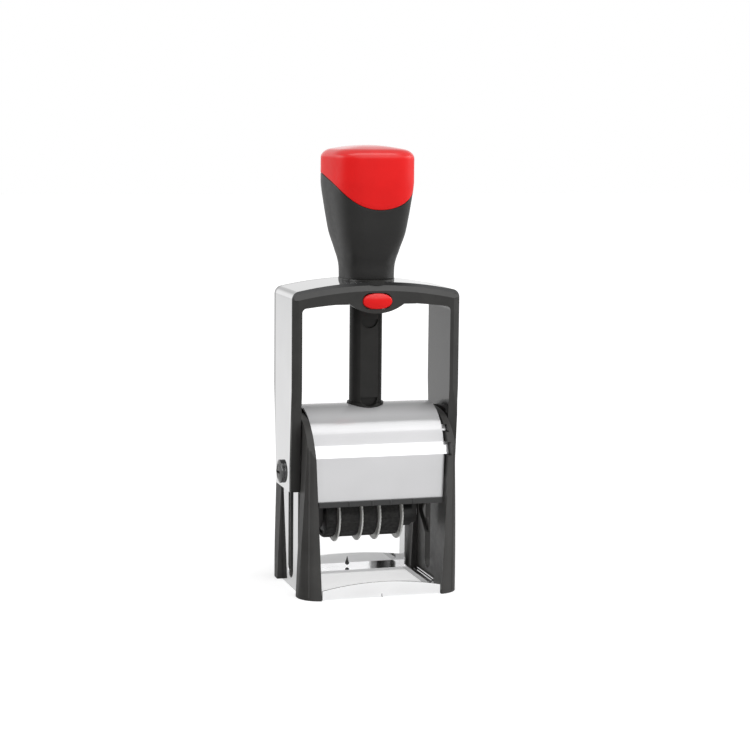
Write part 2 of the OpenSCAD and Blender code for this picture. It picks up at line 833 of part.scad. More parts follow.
module yoke_bezel() {
    color(black_c) difference() {
        union() {
            difference() {
                intersection() {
                    along_y(-bezel_front, -strip_half) bezel_outline();
                    bezel_envelope();
                    yoke_taper(bezel_lap);
                }
                strip_edge();
            }
            along_y(-bezel_front, -bezel_front + bulge_d) bulge_outline();
            both_sides() arm_liner();
        }
        along_y(-bezel_front - 1, -strip_half + 1)
            translate([0, button_z]) oval(button_half_w + run_clear * 3, button_half_h + run_clear * 3);
    }
}

module yoke_core() {
    latch_room = 0.15;
    color(dark_c) difference() {
        intersection() {
            along_y(-core_front, strip_half) yoke_outline(strip_t, arm_low);
            block([-core_half, -strip_half, core_low], [core_half, strip_half, crown_z]);
        }
        translate([0, 0, core_low - 1]) linear_extrude(crown_z)
            column_section(column_r + slide_clear, column_flat + slide_clear);
        rod_y(-strip_half, -button_seat, 0, button_z, latch_r + latch_room);
        along_y(-strip_half, -column_flat) translate([0, button_z + latch_room]) half_moon(latch_r + 2 * latch_room);
        for (side = [-1, 1]) translate([side * screw_x, 0, core_low - 1]) {
            cylinder(r = screw_r + 0.1, h = crown_z);
            cylinder(r = grip_screw_r + 0.3, h = 2.6);
        }
    }
}

// Plan of the collar: the neck's outline, drawn forward over the top of the bezel
module collar_plan() {
    front = strip_front + saddle_d;
    rounded(neck_half_w + 0.25, neck_half_d + 0.25, neck_corner_r);
    translate([0, saddle_r - front]) circle(saddle_r);
}

module handle_collar() {
    color(dark_c) difference() {
        translate([0, 0, crown_z - 3]) linear_extrude(collar_top - crown_z + 3) collar_plan();
        along_y(-strip_front, cap_half_d) yoke_outline(0, arm_low);
        along_y(-cap_half_d, -strip_front + 0.01) crowned(bezel_out, arm_low, bezel_crown, crown_r, yoke_corner_r);
        translate([0, 0, core_low]) cylinder(r = hollow_r, h = crown_z);
        for (side = [-1, 1]) translate([side * screw_x, 0, core_low]) cylinder(r = screw_r + 0.1, h = crown_z);
    }
}

// Sections of the grip from the neck up: share of height, half width, half depth, corner radius
grip_sections = [
    [0, neck_half_w, neck_half_d, neck_corner_r],
    [0.12, neck_half_w + 0.2, neck_half_d + 0.3, neck_corner_r - 0.2],
    [0.25, neck_half_w + 1.2, neck_half_d + 2.1, neck_corner_r - 0.5],
    [0.45, (neck_half_w + cap_half_w) / 2 - 0.1, (neck_half_d + cap_half_d) / 2 + 0.5, neck_corner_r - 0.5],
    [0.69, cap_half_w - 1.8, cap_half_d - 1.9, neck_corner_r + 0.5],
    [1, cap_half_w, cap_half_d, cap_corner_r]];
loft_rings = 16;
corner_steps = 7;

// Smooth blend through the sections at a share of the height
function hermite(p0, p1, p2, p3, t) =
    let (m1 = (p2 - p0) / 2, m2 = (p3 - p1) / 2)
    p1 * (2 * t * t * t - 3 * t * t + 1) + m1 * (t * t * t - 2 * t * t + t)
    + p2 * (3 * t * t - 2 * t * t * t) + m2 * (t * t * t - t * t);
function section_at(s) =
    let (n = len(grip_sections) - 1,
        i = max([for (k = [0:n - 1]) if (s >= grip_sections[k][0]) k]),
        t = (s - grip_sections[i][0]) / (grip_sections[i + 1][0] - grip_sections[i][0]))
    hermite(grip_sections[max(i - 1, 0)], grip_sections[i], grip_sections[i + 1],
        grip_sections[min(i + 2, n)], t);

// One level ring of a rounded rectangle
function level_ring(half_x, half_y, r, z) =
    [for (q = [0:3], k = [0:corner_steps])
        let (a = 90 * q + 90 * k / corner_steps,
            sx = (q == 0 || q == 3) ? 1 : -1, sy = q < 2 ? 1 : -1)
        [sx * (half_x - r) + r * cos(a), sy * (half_y - r) + r * sin(a), z]];

// Rings of the whole handle: the grip, the straight wall, the rim and the crowned top
rim_steps = 5;
handle_rings = concat(
    [for (i = [0:loft_rings])
        let (s = i / loft_rings, v = section_at(min(s, 0.9999)))
        level_ring(v[1], v[2], v[3], collar_top + s * (cap_base - collar_top))],
    [for (k = [0:rim_steps])
        let (a = 80 * k / rim_steps, inset = cap_rim_r * (1 - cos(a)))
        level_ring(cap_half_w - inset, cap_half_d - inset, cap_corner_r - inset, cap_shoulder + cap_rim_r * sin(a))],
    [for (f = [0.75, 0.5, 0.2])
        let (inset = cap_rim_r * (1 - cos(80)))
        level_ring((cap_half_w - inset) * f, (cap_half_d - inset) * f, (cap_corner_r - inset) * f,
            cap_top - (cap_crown + cap_rim_r * (1 - sin(80))) * f * f)]);

module handle_form() {
    sides = 4 * (corner_steps + 1);
    count = len(handle_rings);
    points = [for (ring = handle_rings) each ring];
    walls = [for (i = [0:count - 2], k = [0:sides - 1])
        let (n = (k + 1) % sides, a = i * sides, b = a + sides)
        each [[a + k, b + n, a + n], [a + k, b + k, b + n]]];
    low = [[for (k = [0:sides - 1]) k]];
    high = [[for (k = [sides - 1:-1:0]) (count - 1) * sides + k]];
    polyhedron(points, concat(walls, low, high));
}

// Everything below the line between cap and grip
module below_tongue() {
    translate([0, -cap_half_d, tongue_z]) rotate([tongue_tilt, 0, 0])
        along_y(-cap_half_d, 3 * cap_half_d) difference() {
            translate([-2 * cap_half_w, -tongue_z]) square([4 * cap_half_w, tongue_z + tongue_r]);
            translate([0, tongue_r]) circle(tongue_r, $fn = 128);
        }
}

// Inner part of the grip that the cap sits on
module grip_plug() {
    plug_low = tongue_z - tongue_drop / 2;
    translate([0, 0, plug_low]) linear_extrude(plug_top - plug_low)
        rounded(plug_half_w, plug_half_d, plug_r);
}

module handle_grip() {
    color(black_c) difference() {
        rotate([0, 0, handle_turn]) {
            intersection() {
                handle_form();
                below_tongue();
            }
            grip_plug();
        }
        translate([0, 0, collar_top - 1]) cylinder(r = hollow_r, h = hollow_top - collar_top + 1);
        for (side = [-1, 1]) translate([side * screw_x, 0, collar_top - 1]) cylinder(r = screw_r, h = screw_bite + 3);
    }
}

module handle_cap() {
    color(red_c) rotate([0, 0, handle_turn]) difference() {
        handle_form();
        below_tongue();
        grip_plug();
    }
}

module handle_screws() {
    color(steel_c) for (side = [-1, 1]) translate([side * screw_x, 0, 0]) difference() {
        union() {
            translate([0, 0, core_low + 0.2]) cylinder(r = grip_screw_r, h = 1.4);
            translate([0, 0, core_low + 0.2]) cylinder(r = screw_r, h = collar_top + screw_bite - core_low);
        }
        for (turn = [0, 90]) translate([0, 0, core_low]) rotate([0, 0, turn])
            cube(screw_slot, center = true);
    }
}

// Right-hand pivot screw with a domed head and a cross slot
module pivot_screw() {
    dome_r = (screw_head_r * screw_head_r + screw_dome_h * screw_dome_h) / (2 * screw_dome_h);
    head_top = strip_out + screw_rim_h + screw_dome_h;
    difference() {
        union() {
            rod_x(cheek_in + 0.6, strip_out, 0, pivot_z, pivot_r);
            intersection() {
                translate([head_top - dome_r, 0, pivot_z]) rotate([0, 0, 180]) sphere(dome_r, $fn = 128);
                rod_x(strip_out, head_top + 1, 0, pivot_z, screw_head_r);
            }
        }
        for (turn = [0, 90]) translate([head_top, 0, pivot_z]) rotate([turn, 0, 0])
            cube(head_slot, center = true);
    }
}

module right_pivot_screw() {
    color(dark_c) pivot_screw();
}

module left_pivot_screw() {
    color(dark_c) mirror([1, 0, 0]) pivot_screw();
}

module pivot_bushes() {
    color(dark_c) both_sides() difference() {
        rod_x(strip_in - bush_l, strip_in, 0, pivot_z, boss_r);
        rod_x(strip_in - bush_l - 1, strip_in + 1, 0, pivot_z, pivot_r);
    }
}

// Button

module lock_button() {
    face = bezel_front + 1.6;
    dome_r = 30;
    color(red_c) union() {
        intersection() {
            along_y(-face, -button_rear) translate([0, button_z]) oval(button_half_w, button_half_h);
            translate([0, -face + dome_r, button_z]) sphere(dome_r, $fn = 128);
        }
        along_y(-button_rear - 0.1, -tongue_tip) translate([0, button_z]) half_moon(latch_r);
    }
}

// Small spring behind the button, round the upper half of the tongue's bore
button_wire = 0.35;
button_turns = 4;

module button_spring() {
    r = latch_r - 0.75;
    low = button_seat + 0.05;
    high = button_rear - 0.05;
    rings = 8 * button_turns;
    sides = 6;
    points = [for (i = [0:rings])
        let (a = 180 * i / rings * button_turns, y = -high + button_wire / 2 + (high - low - button_wire) * i / rings)
        for (k = [0:sides - 1])
            let (b = 360 * k / sides, m = r / 2 * 0.72 + button_wire / 2 * cos(b))
            [m * cos(2 * a), y + button_wire / 2 * sin(b), button_z + r * 0.52 + m * sin(2 * a)]];
    last = rings * sides;
    walls = [for (i = [0:rings - 1], k = [0:sides - 1])
        let (n = (k + 1) % sides, a = i * sides, b = a + sides)
        each [[a + k, b + n, b + k], [a + k, a + n, b + n]]];
    caps = concat([for (k = [1:sides - 2]) [0, k + 1, k]], [for (k = [1:sides - 2]) [last, last + k, last + k + 1]]);
    color(steel_c) polyhedron(points, concat(walls, caps));
}

// Die carriage

// Window in the die table, plate and rubber for the band noses
module band_window(z0, z1) {
    half = band_half(z0) + nose_room;
    block([band_left(0) - nose_room, -half, z0 - 1], [band_right(3) + nose_room, half, z1 + 1]);
}

// Side view of a cheek: round at the wheel axle, spread under the die table
module cheek_outline(table_half) {
    half = boss_r + 0.6;
    neck_z = pivot_z - 4;
    spread_z = table_top - table_t;
    translate([0, wheel_z]) circle(half);
    polygon([[-half, wheel_z], [half, wheel_z], [half, neck_z], [table_half, spread_z],
        [table_half, table_top], [-table_half, table_top], [-table_half, spread_z], [-half, neck_z]]);
}

module die_carriage() {
    table_half_y = die_w / 2 - 0.6;
    color(black_c) difference() {
        union() {
            difference() {
                block([-cheek_out, -table_half_y, table_top - table_t], [cheek_out, table_half_y, table_top]);
                band_window(table_top - table_t, table_top);
            }
            both_sides() {
                along_x(cheek_in, cheek_out) cheek_outline(table_half_y);
                rod_x(cheek_in, boss_out, 0, pivot_z, boss_r);
            }
        }
        both_sides() {
            block([0, -boss_r, table_top], [die_l / 2 + pass_gap, boss_r, face_z]);
            rod_x(cheek_in - 1, boss_out + 1, 0, pivot_z, pivot_r + run_clear);
            rod_x(cheek_in - 1, cheek_out + 1, 0, wheel_z, axle_r);
            rod_x(cheek_in - 1, cheek_out + 1, 0, pivot_z - cam_arm, cam_pin_r);
        }
    }
}

module die_plate() {
    color(steel_c) difference() {
        block([-die_l / 2, -die_w / 2, table_top], [die_l / 2, die_w / 2, table_top + die_plate_t]);
        band_window(table_top, table_top + die_plate_t);
    }
}

// Rubber die with plain bars above and below the date line and a thin border
module text_die() {
    sheet_top = face_z - relief_h;
    border = 1.2;
    bar_rows = [0.42, 0.62, 0.78];
    bar_lengths = [0.8, 0.66, 0.74];
    bar_half = 0.8;
    color(rubber_c) difference() {
        union() {
            block([-die_l / 2, -die_w / 2, table_top + die_plate_t], [die_l / 2, die_w / 2, sheet_top]);
            difference() {
                block([-die_l / 2, -die_w / 2, sheet_top - 0.1], [die_l / 2, die_w / 2, face_z]);
                block([-die_l / 2 + border, -die_w / 2 + border, sheet_top - 1],
                    [die_l / 2 - border, die_w / 2 - border, face_z + 1]);
            }
            for (side = [-1, 1], i = [0:2]) {
                y = side * die_w / 2 * bar_rows[i];
                half = die_l / 2 * bar_lengths[i];
                block([-half, y - bar_half, sheet_top - 0.1], [half, y + bar_half, face_z]);
            }
        }
        band_window(table_top + die_plate_t, face_z);
    }
}

// Nose bar in the window, on a rail between the cheeks under the table
module band_bridge() {
    half = nose_r - 0.1;
    low = nose_z - bridge_h;
    color(dark_c) {
        rod_x(band_left(0), band_right(3), 0, nose_z, half);
        block([band_left(0), -half, low], [band_right(3), half, nose_z]);
        block([-cheek_in, -half, low], [cheek_in, half, table_top - table_t]);
    }
}

// Band loop round its drum and the nose, with raised pads along its outside
module date_band(i) {
    x0 = band_left(i);
    x1 = band_right(i);
    inner_low = drum_r + slide_clear;
    color(rubber_c) along_x(x0, x1) difference() {
        belt(wheel_z, band_r, nose_z, nose_r + band_t);
        belt(wheel_z, inner_low, nose_z, nose_r);
    }
}

module date_band_1() { date_band(0); }
module date_band_2() { date_band(1); }
module date_band_3() { date_band(2); }
module date_band_4() { date_band(3); }

// Setting wheel with a serrated rim and the drum that drives its band
module date_wheel(i) {
    x = wheel_xs[i];
    drum_left = band_left(i) + 0.2;
    rim = [for (k = [0:2 * wheel_teeth - 1])
        let (a = 180 * k / wheel_teeth, r = k % 2 == 0 ? wheel_r : wheel_r - tooth_h)
        [r * cos(a), wheel_z + r * sin(a)]];
    color(wheel_c) difference() {
        union() {
            along_x(x - wheel_t / 2, x + wheel_t / 2) polygon(rim);
            rod_x(drum_left, x, 0, wheel_z, drum_r);
        }
        rod_x(drum_left - 1, x + wheel_t, 0, wheel_z, axle_r + run_clear);
    }
}

module date_wheel_1() { date_wheel(0); }
module date_wheel_2() { date_wheel(1); }
module date_wheel_3() { date_wheel(2); }
module date_wheel_4() { date_wheel(3); }

clip_t = 0.8;

module wheel_axle() {
    color(steel_c) rod_x(-cheek_out - clip_t - 0.4, cheek_out + clip_t + 0.4, 0, wheel_z, axle_r);
}

// Sleeve on the axle between the last wheel and the right-hand cheek
module axle_spacer() {
    left = wheel_xs[3] + wheel_t / 2 + band_gap;
    color(dark_c) difference() {
        rod_x(left, cheek_in, 0, wheel_z, spacer_r);
        rod_x(left - 1, cheek_in + 1, 0, wheel_z, axle_r);
    }
}

// Spring clips on both ends of the wheel axle
module axle_clips() {
    clip_r = axle_r + 1.5;
    color(steel_c) both_sides() along_x(cheek_out, cheek_out + clip_t) difference() {
        translate([0, wheel_z]) circle(clip_r);
        translate([0, wheel_z]) circle(axle_r);
        translate([-axle_r * 0.7, wheel_z - clip_r - 1]) square([axle_r * 1.4, clip_r]);
    }
}

module cam_pins() {
    color(steel_c) both_sides() rod_x(cheek_in, web_in + web_t - 1.5, 0, pivot_z - cam_arm, cam_pin_r);
}

chassis();
left_side_frame();
right_side_frame();
top_cover();
pad_housing();
guide_column();
return_spring();
ink_pad_tray();
ink_pad_felt();
yoke_strip();
yoke_bezel();
yoke_core();
handle_collar();
handle_grip();
handle_cap();
handle_screws();
left_pivot_screw();
right_pivot_screw();
pivot_bushes();
lock_button();
button_spring();
die_carriage();
die_plate();
text_die();
band_bridge();
date_band_1();
date_band_2();
date_band_3();
date_band_4();
wheel_axle();
axle_spacer();
axle_clips();
cam_pins();
date_wheel_1();
date_wheel_2();
date_wheel_3();
date_wheel_4();
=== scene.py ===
"""Looks of the self-inking dater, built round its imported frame.

The solids get finishes and broken edges. The handle, the button, the wheels, the bands, the springs and the
felt are modelled anew in their places.
"""
import json
import logging
import math
from collections.abc import Callable, Iterable
from dataclasses import dataclass, field
from enum import Enum

import bmesh
import bpy
from mathutils import Euler, Matrix, Vector

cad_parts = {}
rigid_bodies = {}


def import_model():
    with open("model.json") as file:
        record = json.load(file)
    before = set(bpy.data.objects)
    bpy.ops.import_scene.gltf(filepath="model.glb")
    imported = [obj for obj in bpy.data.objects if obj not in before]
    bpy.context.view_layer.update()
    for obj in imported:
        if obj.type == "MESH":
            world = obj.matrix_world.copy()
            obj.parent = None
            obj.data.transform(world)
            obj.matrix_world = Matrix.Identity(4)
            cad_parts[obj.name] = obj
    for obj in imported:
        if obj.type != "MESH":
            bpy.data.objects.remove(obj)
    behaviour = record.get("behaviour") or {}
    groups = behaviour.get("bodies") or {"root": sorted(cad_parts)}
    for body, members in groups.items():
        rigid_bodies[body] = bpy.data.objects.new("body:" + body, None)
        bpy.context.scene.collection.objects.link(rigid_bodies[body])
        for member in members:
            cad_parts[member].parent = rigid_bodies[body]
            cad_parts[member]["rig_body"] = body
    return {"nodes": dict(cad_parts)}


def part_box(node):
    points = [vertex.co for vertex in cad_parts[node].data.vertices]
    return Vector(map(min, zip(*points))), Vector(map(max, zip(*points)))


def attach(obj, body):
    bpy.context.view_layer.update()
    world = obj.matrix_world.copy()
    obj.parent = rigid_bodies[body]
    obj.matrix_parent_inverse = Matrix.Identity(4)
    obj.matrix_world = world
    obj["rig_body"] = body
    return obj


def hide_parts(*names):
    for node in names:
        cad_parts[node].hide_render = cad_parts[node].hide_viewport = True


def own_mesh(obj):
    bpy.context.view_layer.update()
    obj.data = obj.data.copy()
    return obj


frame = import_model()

log = logging.getLogger("dater")
# One millimetre in metres: classes give sizes of shapes in millimetres, meshes and materials are in metres
MM = 0.001
# Points nearer to each other than this, in metres, are merged
MERGE = 1e-6
# Height of the joint between grip and collar, in millimetres
NECK_JOINT = 135.2
# Middle of a noise's values, which tones and roughness are spread over
NOISE_SPAN = (0.3, 0.7)
# How much a large face counts in the normals along its edges
FACE_WEIGHT = 80
WHITE = (1.0, 1.0, 1.0)
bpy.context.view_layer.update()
Colour = tuple[float, float, float]
Point = tuple[float, float, float]
Span = tuple[float, float]
# Gives the place of a ring's point by its turn about the axis
Rule = Callable[[float], Vector]
Socket = bpy.types.NodeSocket
BMesh = bmesh.types.BMesh


class Slot(Enum):
    """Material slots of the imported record."""

    SATIN_BLACK = "satin_black"
    DARK_PLASTIC = "dark_plastic"
    RED_GLOSS = "red_gloss"
    CHROME = "chrome"
    STEEL = "steel"
    DARK_STEEL = "dark_steel"
    WHEEL_PLASTIC = "wheel_plastic"
    RUBBER = "rubber"
    FELT = "felt"


class Body(Enum):
    """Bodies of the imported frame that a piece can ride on."""

    BASE = "base"
    YOKE = "yoke"
    LOCK_BUTTON = "lock_button"
    INK_PAD = "ink_pad"
    CARRIAGE = "carriage"


@dataclass(frozen=True)
class Noise:
    """Noise pattern: width of its spots in metres, levels of finer noise, and frequency along each axis."""

    grain: float
    detail: float = 3.0
    stretch: Point = (1.0, 1.0, 1.0)


def map_range(
    tree: bpy.types.NodeTree, value: Socket, span: Span, onto: Span = (0.0, 1.0),
) -> bpy.types.Node:
    """Add a node that maps a span of values onto another span.

    Args:
        tree: Node tree of a material or of the world.
        value: Socket that gives the values.
        span: Span that is mapped. Values past its ends count as its ends.
        onto: Span that it is mapped onto.

    Returns:
        The node.
    """
    node = tree.nodes.new("ShaderNodeMapRange")
    for name, end in zip(("From Min", "From Max", "To Min", "To Max"), span + onto):
        node.inputs[name].default_value = end
    tree.links.new(value, node.inputs["Value"])
    return node


class Graph:
    """Node tree of one material, on the object's own coordinates."""

    # Places of the colour sockets of a Mix node, whose number sockets have the same names
    MIX_A = 6
    MIX_B = 7
    MIX_RESULT = 2

    def __init__(self, name: str) -> None:
        """Start a material with a Principled shader.

        Args:
            name: Name of the material.
        """
        self.material = bpy.data.materials.new(name)
        self.material.use_nodes = True
        self.tree = self.material.node_tree
        self.tree.nodes.clear()
        output = self.add("ShaderNodeOutputMaterial")
        self.shader = self.add("ShaderNodeBsdfPrincipled")
        self.link(self.shader.outputs["BSDF"], output.inputs["Surface"])
        coordinates = self.add("ShaderNodeTexCoord")
        self.place = coordinates.outputs["Object"]
        self.normal = coordinates.outputs["Normal"]

    def add(self, kind: str) -> bpy.types.Node:
        """Add a node of a kind and return it."""
        return self.tree.nodes.new(kind)

    def link(self, start: Socket, end: Socket) -> None:
        """Join an output socket to an input socket."""
        self.tree.links.new(start, end)

    def fix(self, **values: float | Colour) -> None:
        """Set constants on the shader's own sockets, with underscores for the spaces in their names."""
        for name, value in values.items():
            socket = self.shader.inputs[name.replace("_", " ")]
            socket.default_value = (*value, 1.0) if isinstance(value, tuple) else value

    def noise(self, pattern: Noise) -> Socket:
        """Lay a noise pattern over the piece and return its factor."""
        mapping = self.add("ShaderNodeMapping")
        mapping.inputs["Scale"].default_value = pattern.stretch
        texture = self.add("ShaderNodeTexNoise")
        texture.inputs["Scale"].default_value = 1.0 / pattern.grain
        texture.inputs["Detail"].default_value = pattern.detail
        self.link(self.place, mapping.inputs["Vector"])
        self.link(mapping.outputs["Vector"], texture.inputs["Vector"])
        return texture.outputs["Fac"]

    def tint(self, factor: Socket, colour: Colour, shift: float) -> None:
        """Let the base colour wander between a darker and a lighter tone.

        Args:
            factor: Noise that picks the tone.
            colour: Middle tone.
            shift: Share by which the tones differ from the middle.
        """
        ramp = self.add("ShaderNodeValToRGB")
        for element, position, way in zip(ramp.color_ramp.elements, NOISE_SPAN, (-1.0, 1.0)):
            element.position = position
            element.color = (*(c * (1.0 + way * shift) for c in colour), 1.0)
        self.link(factor, ramp.inputs["Fac"])
        self.link(ramp.outputs["Color"], self.shader.inputs["Base Color"])

    def roughen(self, factor: Socket, span: Span) -> None:
        """Spread the roughness over a span by a noise."""
        spread = map_range(self.tree, factor, NOISE_SPAN, span)
        self.link(spread.outputs["Result"], self.shader.inputs["Roughness"])

    def math(self, kind: str, *values: Socket) -> Socket:
        """Join sockets by a math node of a kind and return its value."""
        node = self.add("ShaderNodeMath")
        node.operation = kind
        for end, value in enumerate(values):
            self.link(value, node.inputs[end])
        return node.outputs["Value"]

    def along(
        self, vector: Socket, axis: str, low: float, high: float, both: bool = False,
    ) -> Socket:
        """Factor that grows from 0 to 1 with one part of a vector.

        Args:
            vector: The place or the normal.
            axis: Name of the part.
            low: Value up to which the factor is 0.
            high: Value from which it is 1.
            both: True where the part's size counts, without its sign.

        Returns:
            The factor.
        """
        split = self.add("ShaderNodeSeparateXYZ")
        self.link(vector, split.inputs["Vector"])
        part = split.outputs[axis]
        value = self.math("ABSOLUTE", part) if both else part
        return map_range(self.tree, value, (low, high)).outputs["Result"]

    def facing(self, axis: str, low: float, high: float, both: bool = False) -> Socket:
        """Factor that grows as a face turns to an axis."""
        return self.along(self.normal, axis, low, high, both)

    def outward(self, low: float, high: float) -> Socket:
        """Factor that grows as a face turns away from the middle plane of the stamp.

        Args:
            low: Sideways part of the normal up to which the factor is 0.
            high: Part from which it is 1.

        Returns:
            The factor.
        """
        left = self.math("MULTIPLY", self.along(self.place, "X", 0.0, -MM), self.facing("X", -low, -high))
        right = self.math("MULTIPLY", self.along(self.place, "X", 0.0, MM), self.facing("X", low, high))
        return self.math("ADD", left, right)

    def dim(self, factor: Socket, share: float) -> None:
        """Let a factor draw the base colour towards a share of itself.

        Args:
            factor: Where the share holds, from 0 to 1.
            share: Share of the colour where the factor is 1.
        """
        end = self.shader.inputs["Base Color"]
        blend = self.add("ShaderNodeMix")
        blend.data_type = "RGBA"
        blend.blend_type = "MULTIPLY"
        blend.inputs[self.MIX_B].default_value = (share, share, share, 1.0)
        self.link(end.links[0].from_socket, blend.inputs[self.MIX_A])
        self.link(factor, blend.inputs["Factor"])
        self.link(blend.outputs[self.MIX_RESULT], end)

    def polish(self, factor: Socket, socket: str, value: float) -> None:
        """Let a factor draw a shader socket towards a fixed value.

        Args:
            factor: Where the value holds, from 0 to 1.
            socket: Name of the shader's socket.
            value: Value where the factor is 1.
        """
        end = self.shader.inputs[socket]
        blend = self.add("ShaderNodeMix")
        blend.inputs["A"].default_value = end.default_value
        if end.is_linked:
            self.link(end.links[0].from_socket, blend.inputs["A"])
        blend.inputs["B"].default_value = value
        self.link(factor, blend.inputs["Factor"])
        self.link(blend.outputs["Result"], end)

    def bump(self, height: Socket, depth: float, strength: float) -> None:
        """Raise the surface by a noise.

        Args:
            height: Noise that gives the relief.
            depth: Height of the relief in metres.
            strength: Share of the relief that shows.
        """
        node = self.add("ShaderNodeBump")
        node.inputs["Distance"].default_value = depth
        node.inputs["Strength"].default_value = strength
        self.link(height, node.inputs["Height"])
        self.link(node.outputs["Normal"], self.shader.inputs["Normal"])


@dataclass(frozen=True)
class Finish:
    """What every finish has: tones in clouds, roughness in spots and a fine relief.

    A kind of finish may set faces of one direction or place apart. A turn is the part of a face's normal from
    which that sets in, and the part from which it is full. A share is what such faces keep of the colour:
    most shares are painted shade or painted dark reflection.
    """

    name: str
    slot: Slot
    colour: Colour
    roughness: Span = (0.3, 0.4)
    specular: float = 0.5
    metallic: float = 0.0
    shift: float = 0.1
    cloud: Noise = Noise(10 * MM)
    spot: Noise = Noise(2 * MM)
    relief: Noise = Noise(0.3 * MM)
    depth: float = 0.01 * MM
    strength: float = 0.5

    def material(self) -> bpy.types.Material:
        """Give the finish's material, made on its first use."""
        return bpy.data.materials.get(self.name) or self.build(Graph(self.name))

    def build(self, graph: Graph) -> bpy.types.Material:
        """Dress the graph's shader and return the material."""
        graph.fix(Specular_IOR_Level=self.specular, Metallic=self.metallic)
        graph.tint(graph.noise(self.cloud), self.colour, self.shift)
        graph.roughen(graph.noise(self.spot), self.roughness)
        graph.bump(graph.noise(self.relief), self.depth, self.strength)
        self.dress(graph)
        return graph.material

    def dress(self, graph: Graph) -> None:
        """Leave the shader as it is. A kind of finish may add to it here."""


@dataclass(frozen=True)
class MouldedPlastic(Finish):
    """Injection-moulded plastic with a fine eroded grain.

    Where asked for, its top or its sides are smoother, or the faces away from the middle get painted shade.
    """

    roughness: Span = (0.3, 0.38)
    specular: float = 0.22
    shift: float = 0.12
    cloud: Noise = Noise(9 * MM)
    spot: Noise = Noise(2.5 * MM)
    relief: Noise = Noise(0.3 * MM, detail=2.0)
    depth: float = 0.003 * MM
    top_roughness: float = 0.0
    top_specular: float = 0.85
    top_turn: Span = (0.1, 0.6)
    level_polish: float = 3.0
    level_turn: Span = (0.9, 0.97)
    side_roughness: float = 0.0
    side_specular: float = 0.5
    side_turn: Span = (0.7, 0.9)
    outer_shade_share: float = 1.0
    outer_specular: float = 0.04
    outer_turn: Span = (0.4, 0.8)

    def dress(self, graph: Graph) -> None:
        """Polish the top and the sides, and paint shade on the outer faces."""
        if self.top_roughness:
            upward = graph.facing("Z", *self.top_turn)
            graph.polish(upward, "Roughness", self.top_roughness)
            graph.polish(upward, "Specular IOR Level", self.top_specular)
            level = graph.facing("Z", *self.level_turn)
            graph.polish(level, "Roughness", self.top_roughness / self.level_polish)
        if self.side_roughness:
            sideways = graph.facing("X", *self.side_turn, both=True)
            graph.polish(sideways, "Roughness", self.side_roughness)
            graph.polish(sideways, "Specular IOR Level", self.side_specular)
        # Painted shade: faces turned away from the middle are dimmed and reflect less.
        if self.outer_shade_share < 1.0:
            outer = graph.outward(*self.outer_turn)
            graph.dim(outer, self.outer_shade_share)
            graph.polish(outer, "Specular IOR Level", self.outer_specular)


@dataclass(frozen=True)
class PolishedChrome(Finish):
    """Chromed sheet steel, bright, with the faint waves of rolled sheet."""

    roughness: Span = (0.05, 0.08)
    metallic: float = 1.0
    shift: float = 0.02
    cloud: Noise = Noise(14 * MM, detail=1.0)
    spot: Noise = Noise(12 * MM, detail=1.0)
    relief: Noise = Noise(16 * MM, detail=0.0)
    depth: float = 0.02 * MM
    strength: float = 0.25
    top_metallic: float = 1.0
    crest_turn: Span = (0.6, 0.85)
    top_shade_share: float = 1.0
    top_turn: Span = (0.88, 0.99)
    side_shade_share: float = 1.0
    side_turn: Span = (0.7, 0.9)
    front_shade_share: float = 1.0
    front_turn: Span = (-0.7, -0.9)
    # Painted shadow of the neck on the front faces: none at the first sideways distance, full at the second.
    shadow: Span = (20 * MM, 8 * MM)
    shadow_share: float = 0.35
    bend_reflection_share: float = 1.0
    bend_turn: Span = (0.25, 0.45)
    rear_reflection_edge: Span | None = None
    rear_reflection_share: float = 0.3
    dark_edge: Span | None = None
    dark_edge_turn: Span = (0.3, 0.6)
    dark_edge_share: float = 0.12

    def dress(self, graph: Graph) -> None:
        """Paint shade and dark reflections onto faces by their direction and place, and darken a band of
        upward faces.
        """
        # Painted shade on the top: upward faces turn less metallic, and the most level ones are dimmed.
        if self.top_metallic < self.metallic:
            graph.polish(graph.facing("Z", *self.crest_turn), "Metallic", self.top_metallic)
        if self.top_shade_share < 1.0:
            graph.dim(graph.facing("Z", *self.top_turn), self.top_shade_share)
        # Painted shade: faces turned sideways are dimmed.
        if self.side_shade_share < 1.0:
            graph.dim(graph.facing("X", *self.side_turn, both=True), self.side_shade_share)
        # Painted shade on the front faces, deepened towards the middle by a painted shadow of the neck.
        if self.front_shade_share < 1.0:
            front = graph.facing("Y", *self.front_turn)
            graph.dim(front, self.front_shade_share)
            middle = graph.along(graph.place, "X", *self.shadow, both=True)
            graph.dim(graph.math("MULTIPLY", front, middle), self.shadow_share)
        # Painted dark reflection on the bend between the top and the sides.
        if self.bend_reflection_share < 1.0:
            past_top = graph.facing("X", *self.bend_turn, both=True)
            before_side = graph.facing("X", *self.side_turn[::-1], both=True)
            graph.dim(graph.math("MULTIPLY", past_top, before_side), self.bend_reflection_share)
        # Painted dark reflection: a darker line along the rear edge.
        if self.rear_reflection_edge:
            graph.dim(graph.along(graph.place, "Y", *self.rear_reflection_edge), self.rear_reflection_share)
        # A darker band on the upward faces over a span of Y, along the front lip's top.
        if self.dark_edge:
            edge = graph.along(graph.place, "Y", *self.dark_edge)
            graph.dim(graph.math("MULTIPLY", edge, graph.facing("Z", *self.dark_edge_turn)), self.dark_edge_share)


# Lines left by turning, along X, and by drawing, along Z
LINES_X = Noise(0.2 * MM, stretch=(0.05, 1.0, 1.0))
LINES_Z = Noise(0.2 * MM, stretch=(1.0, 1.0, 0.1))


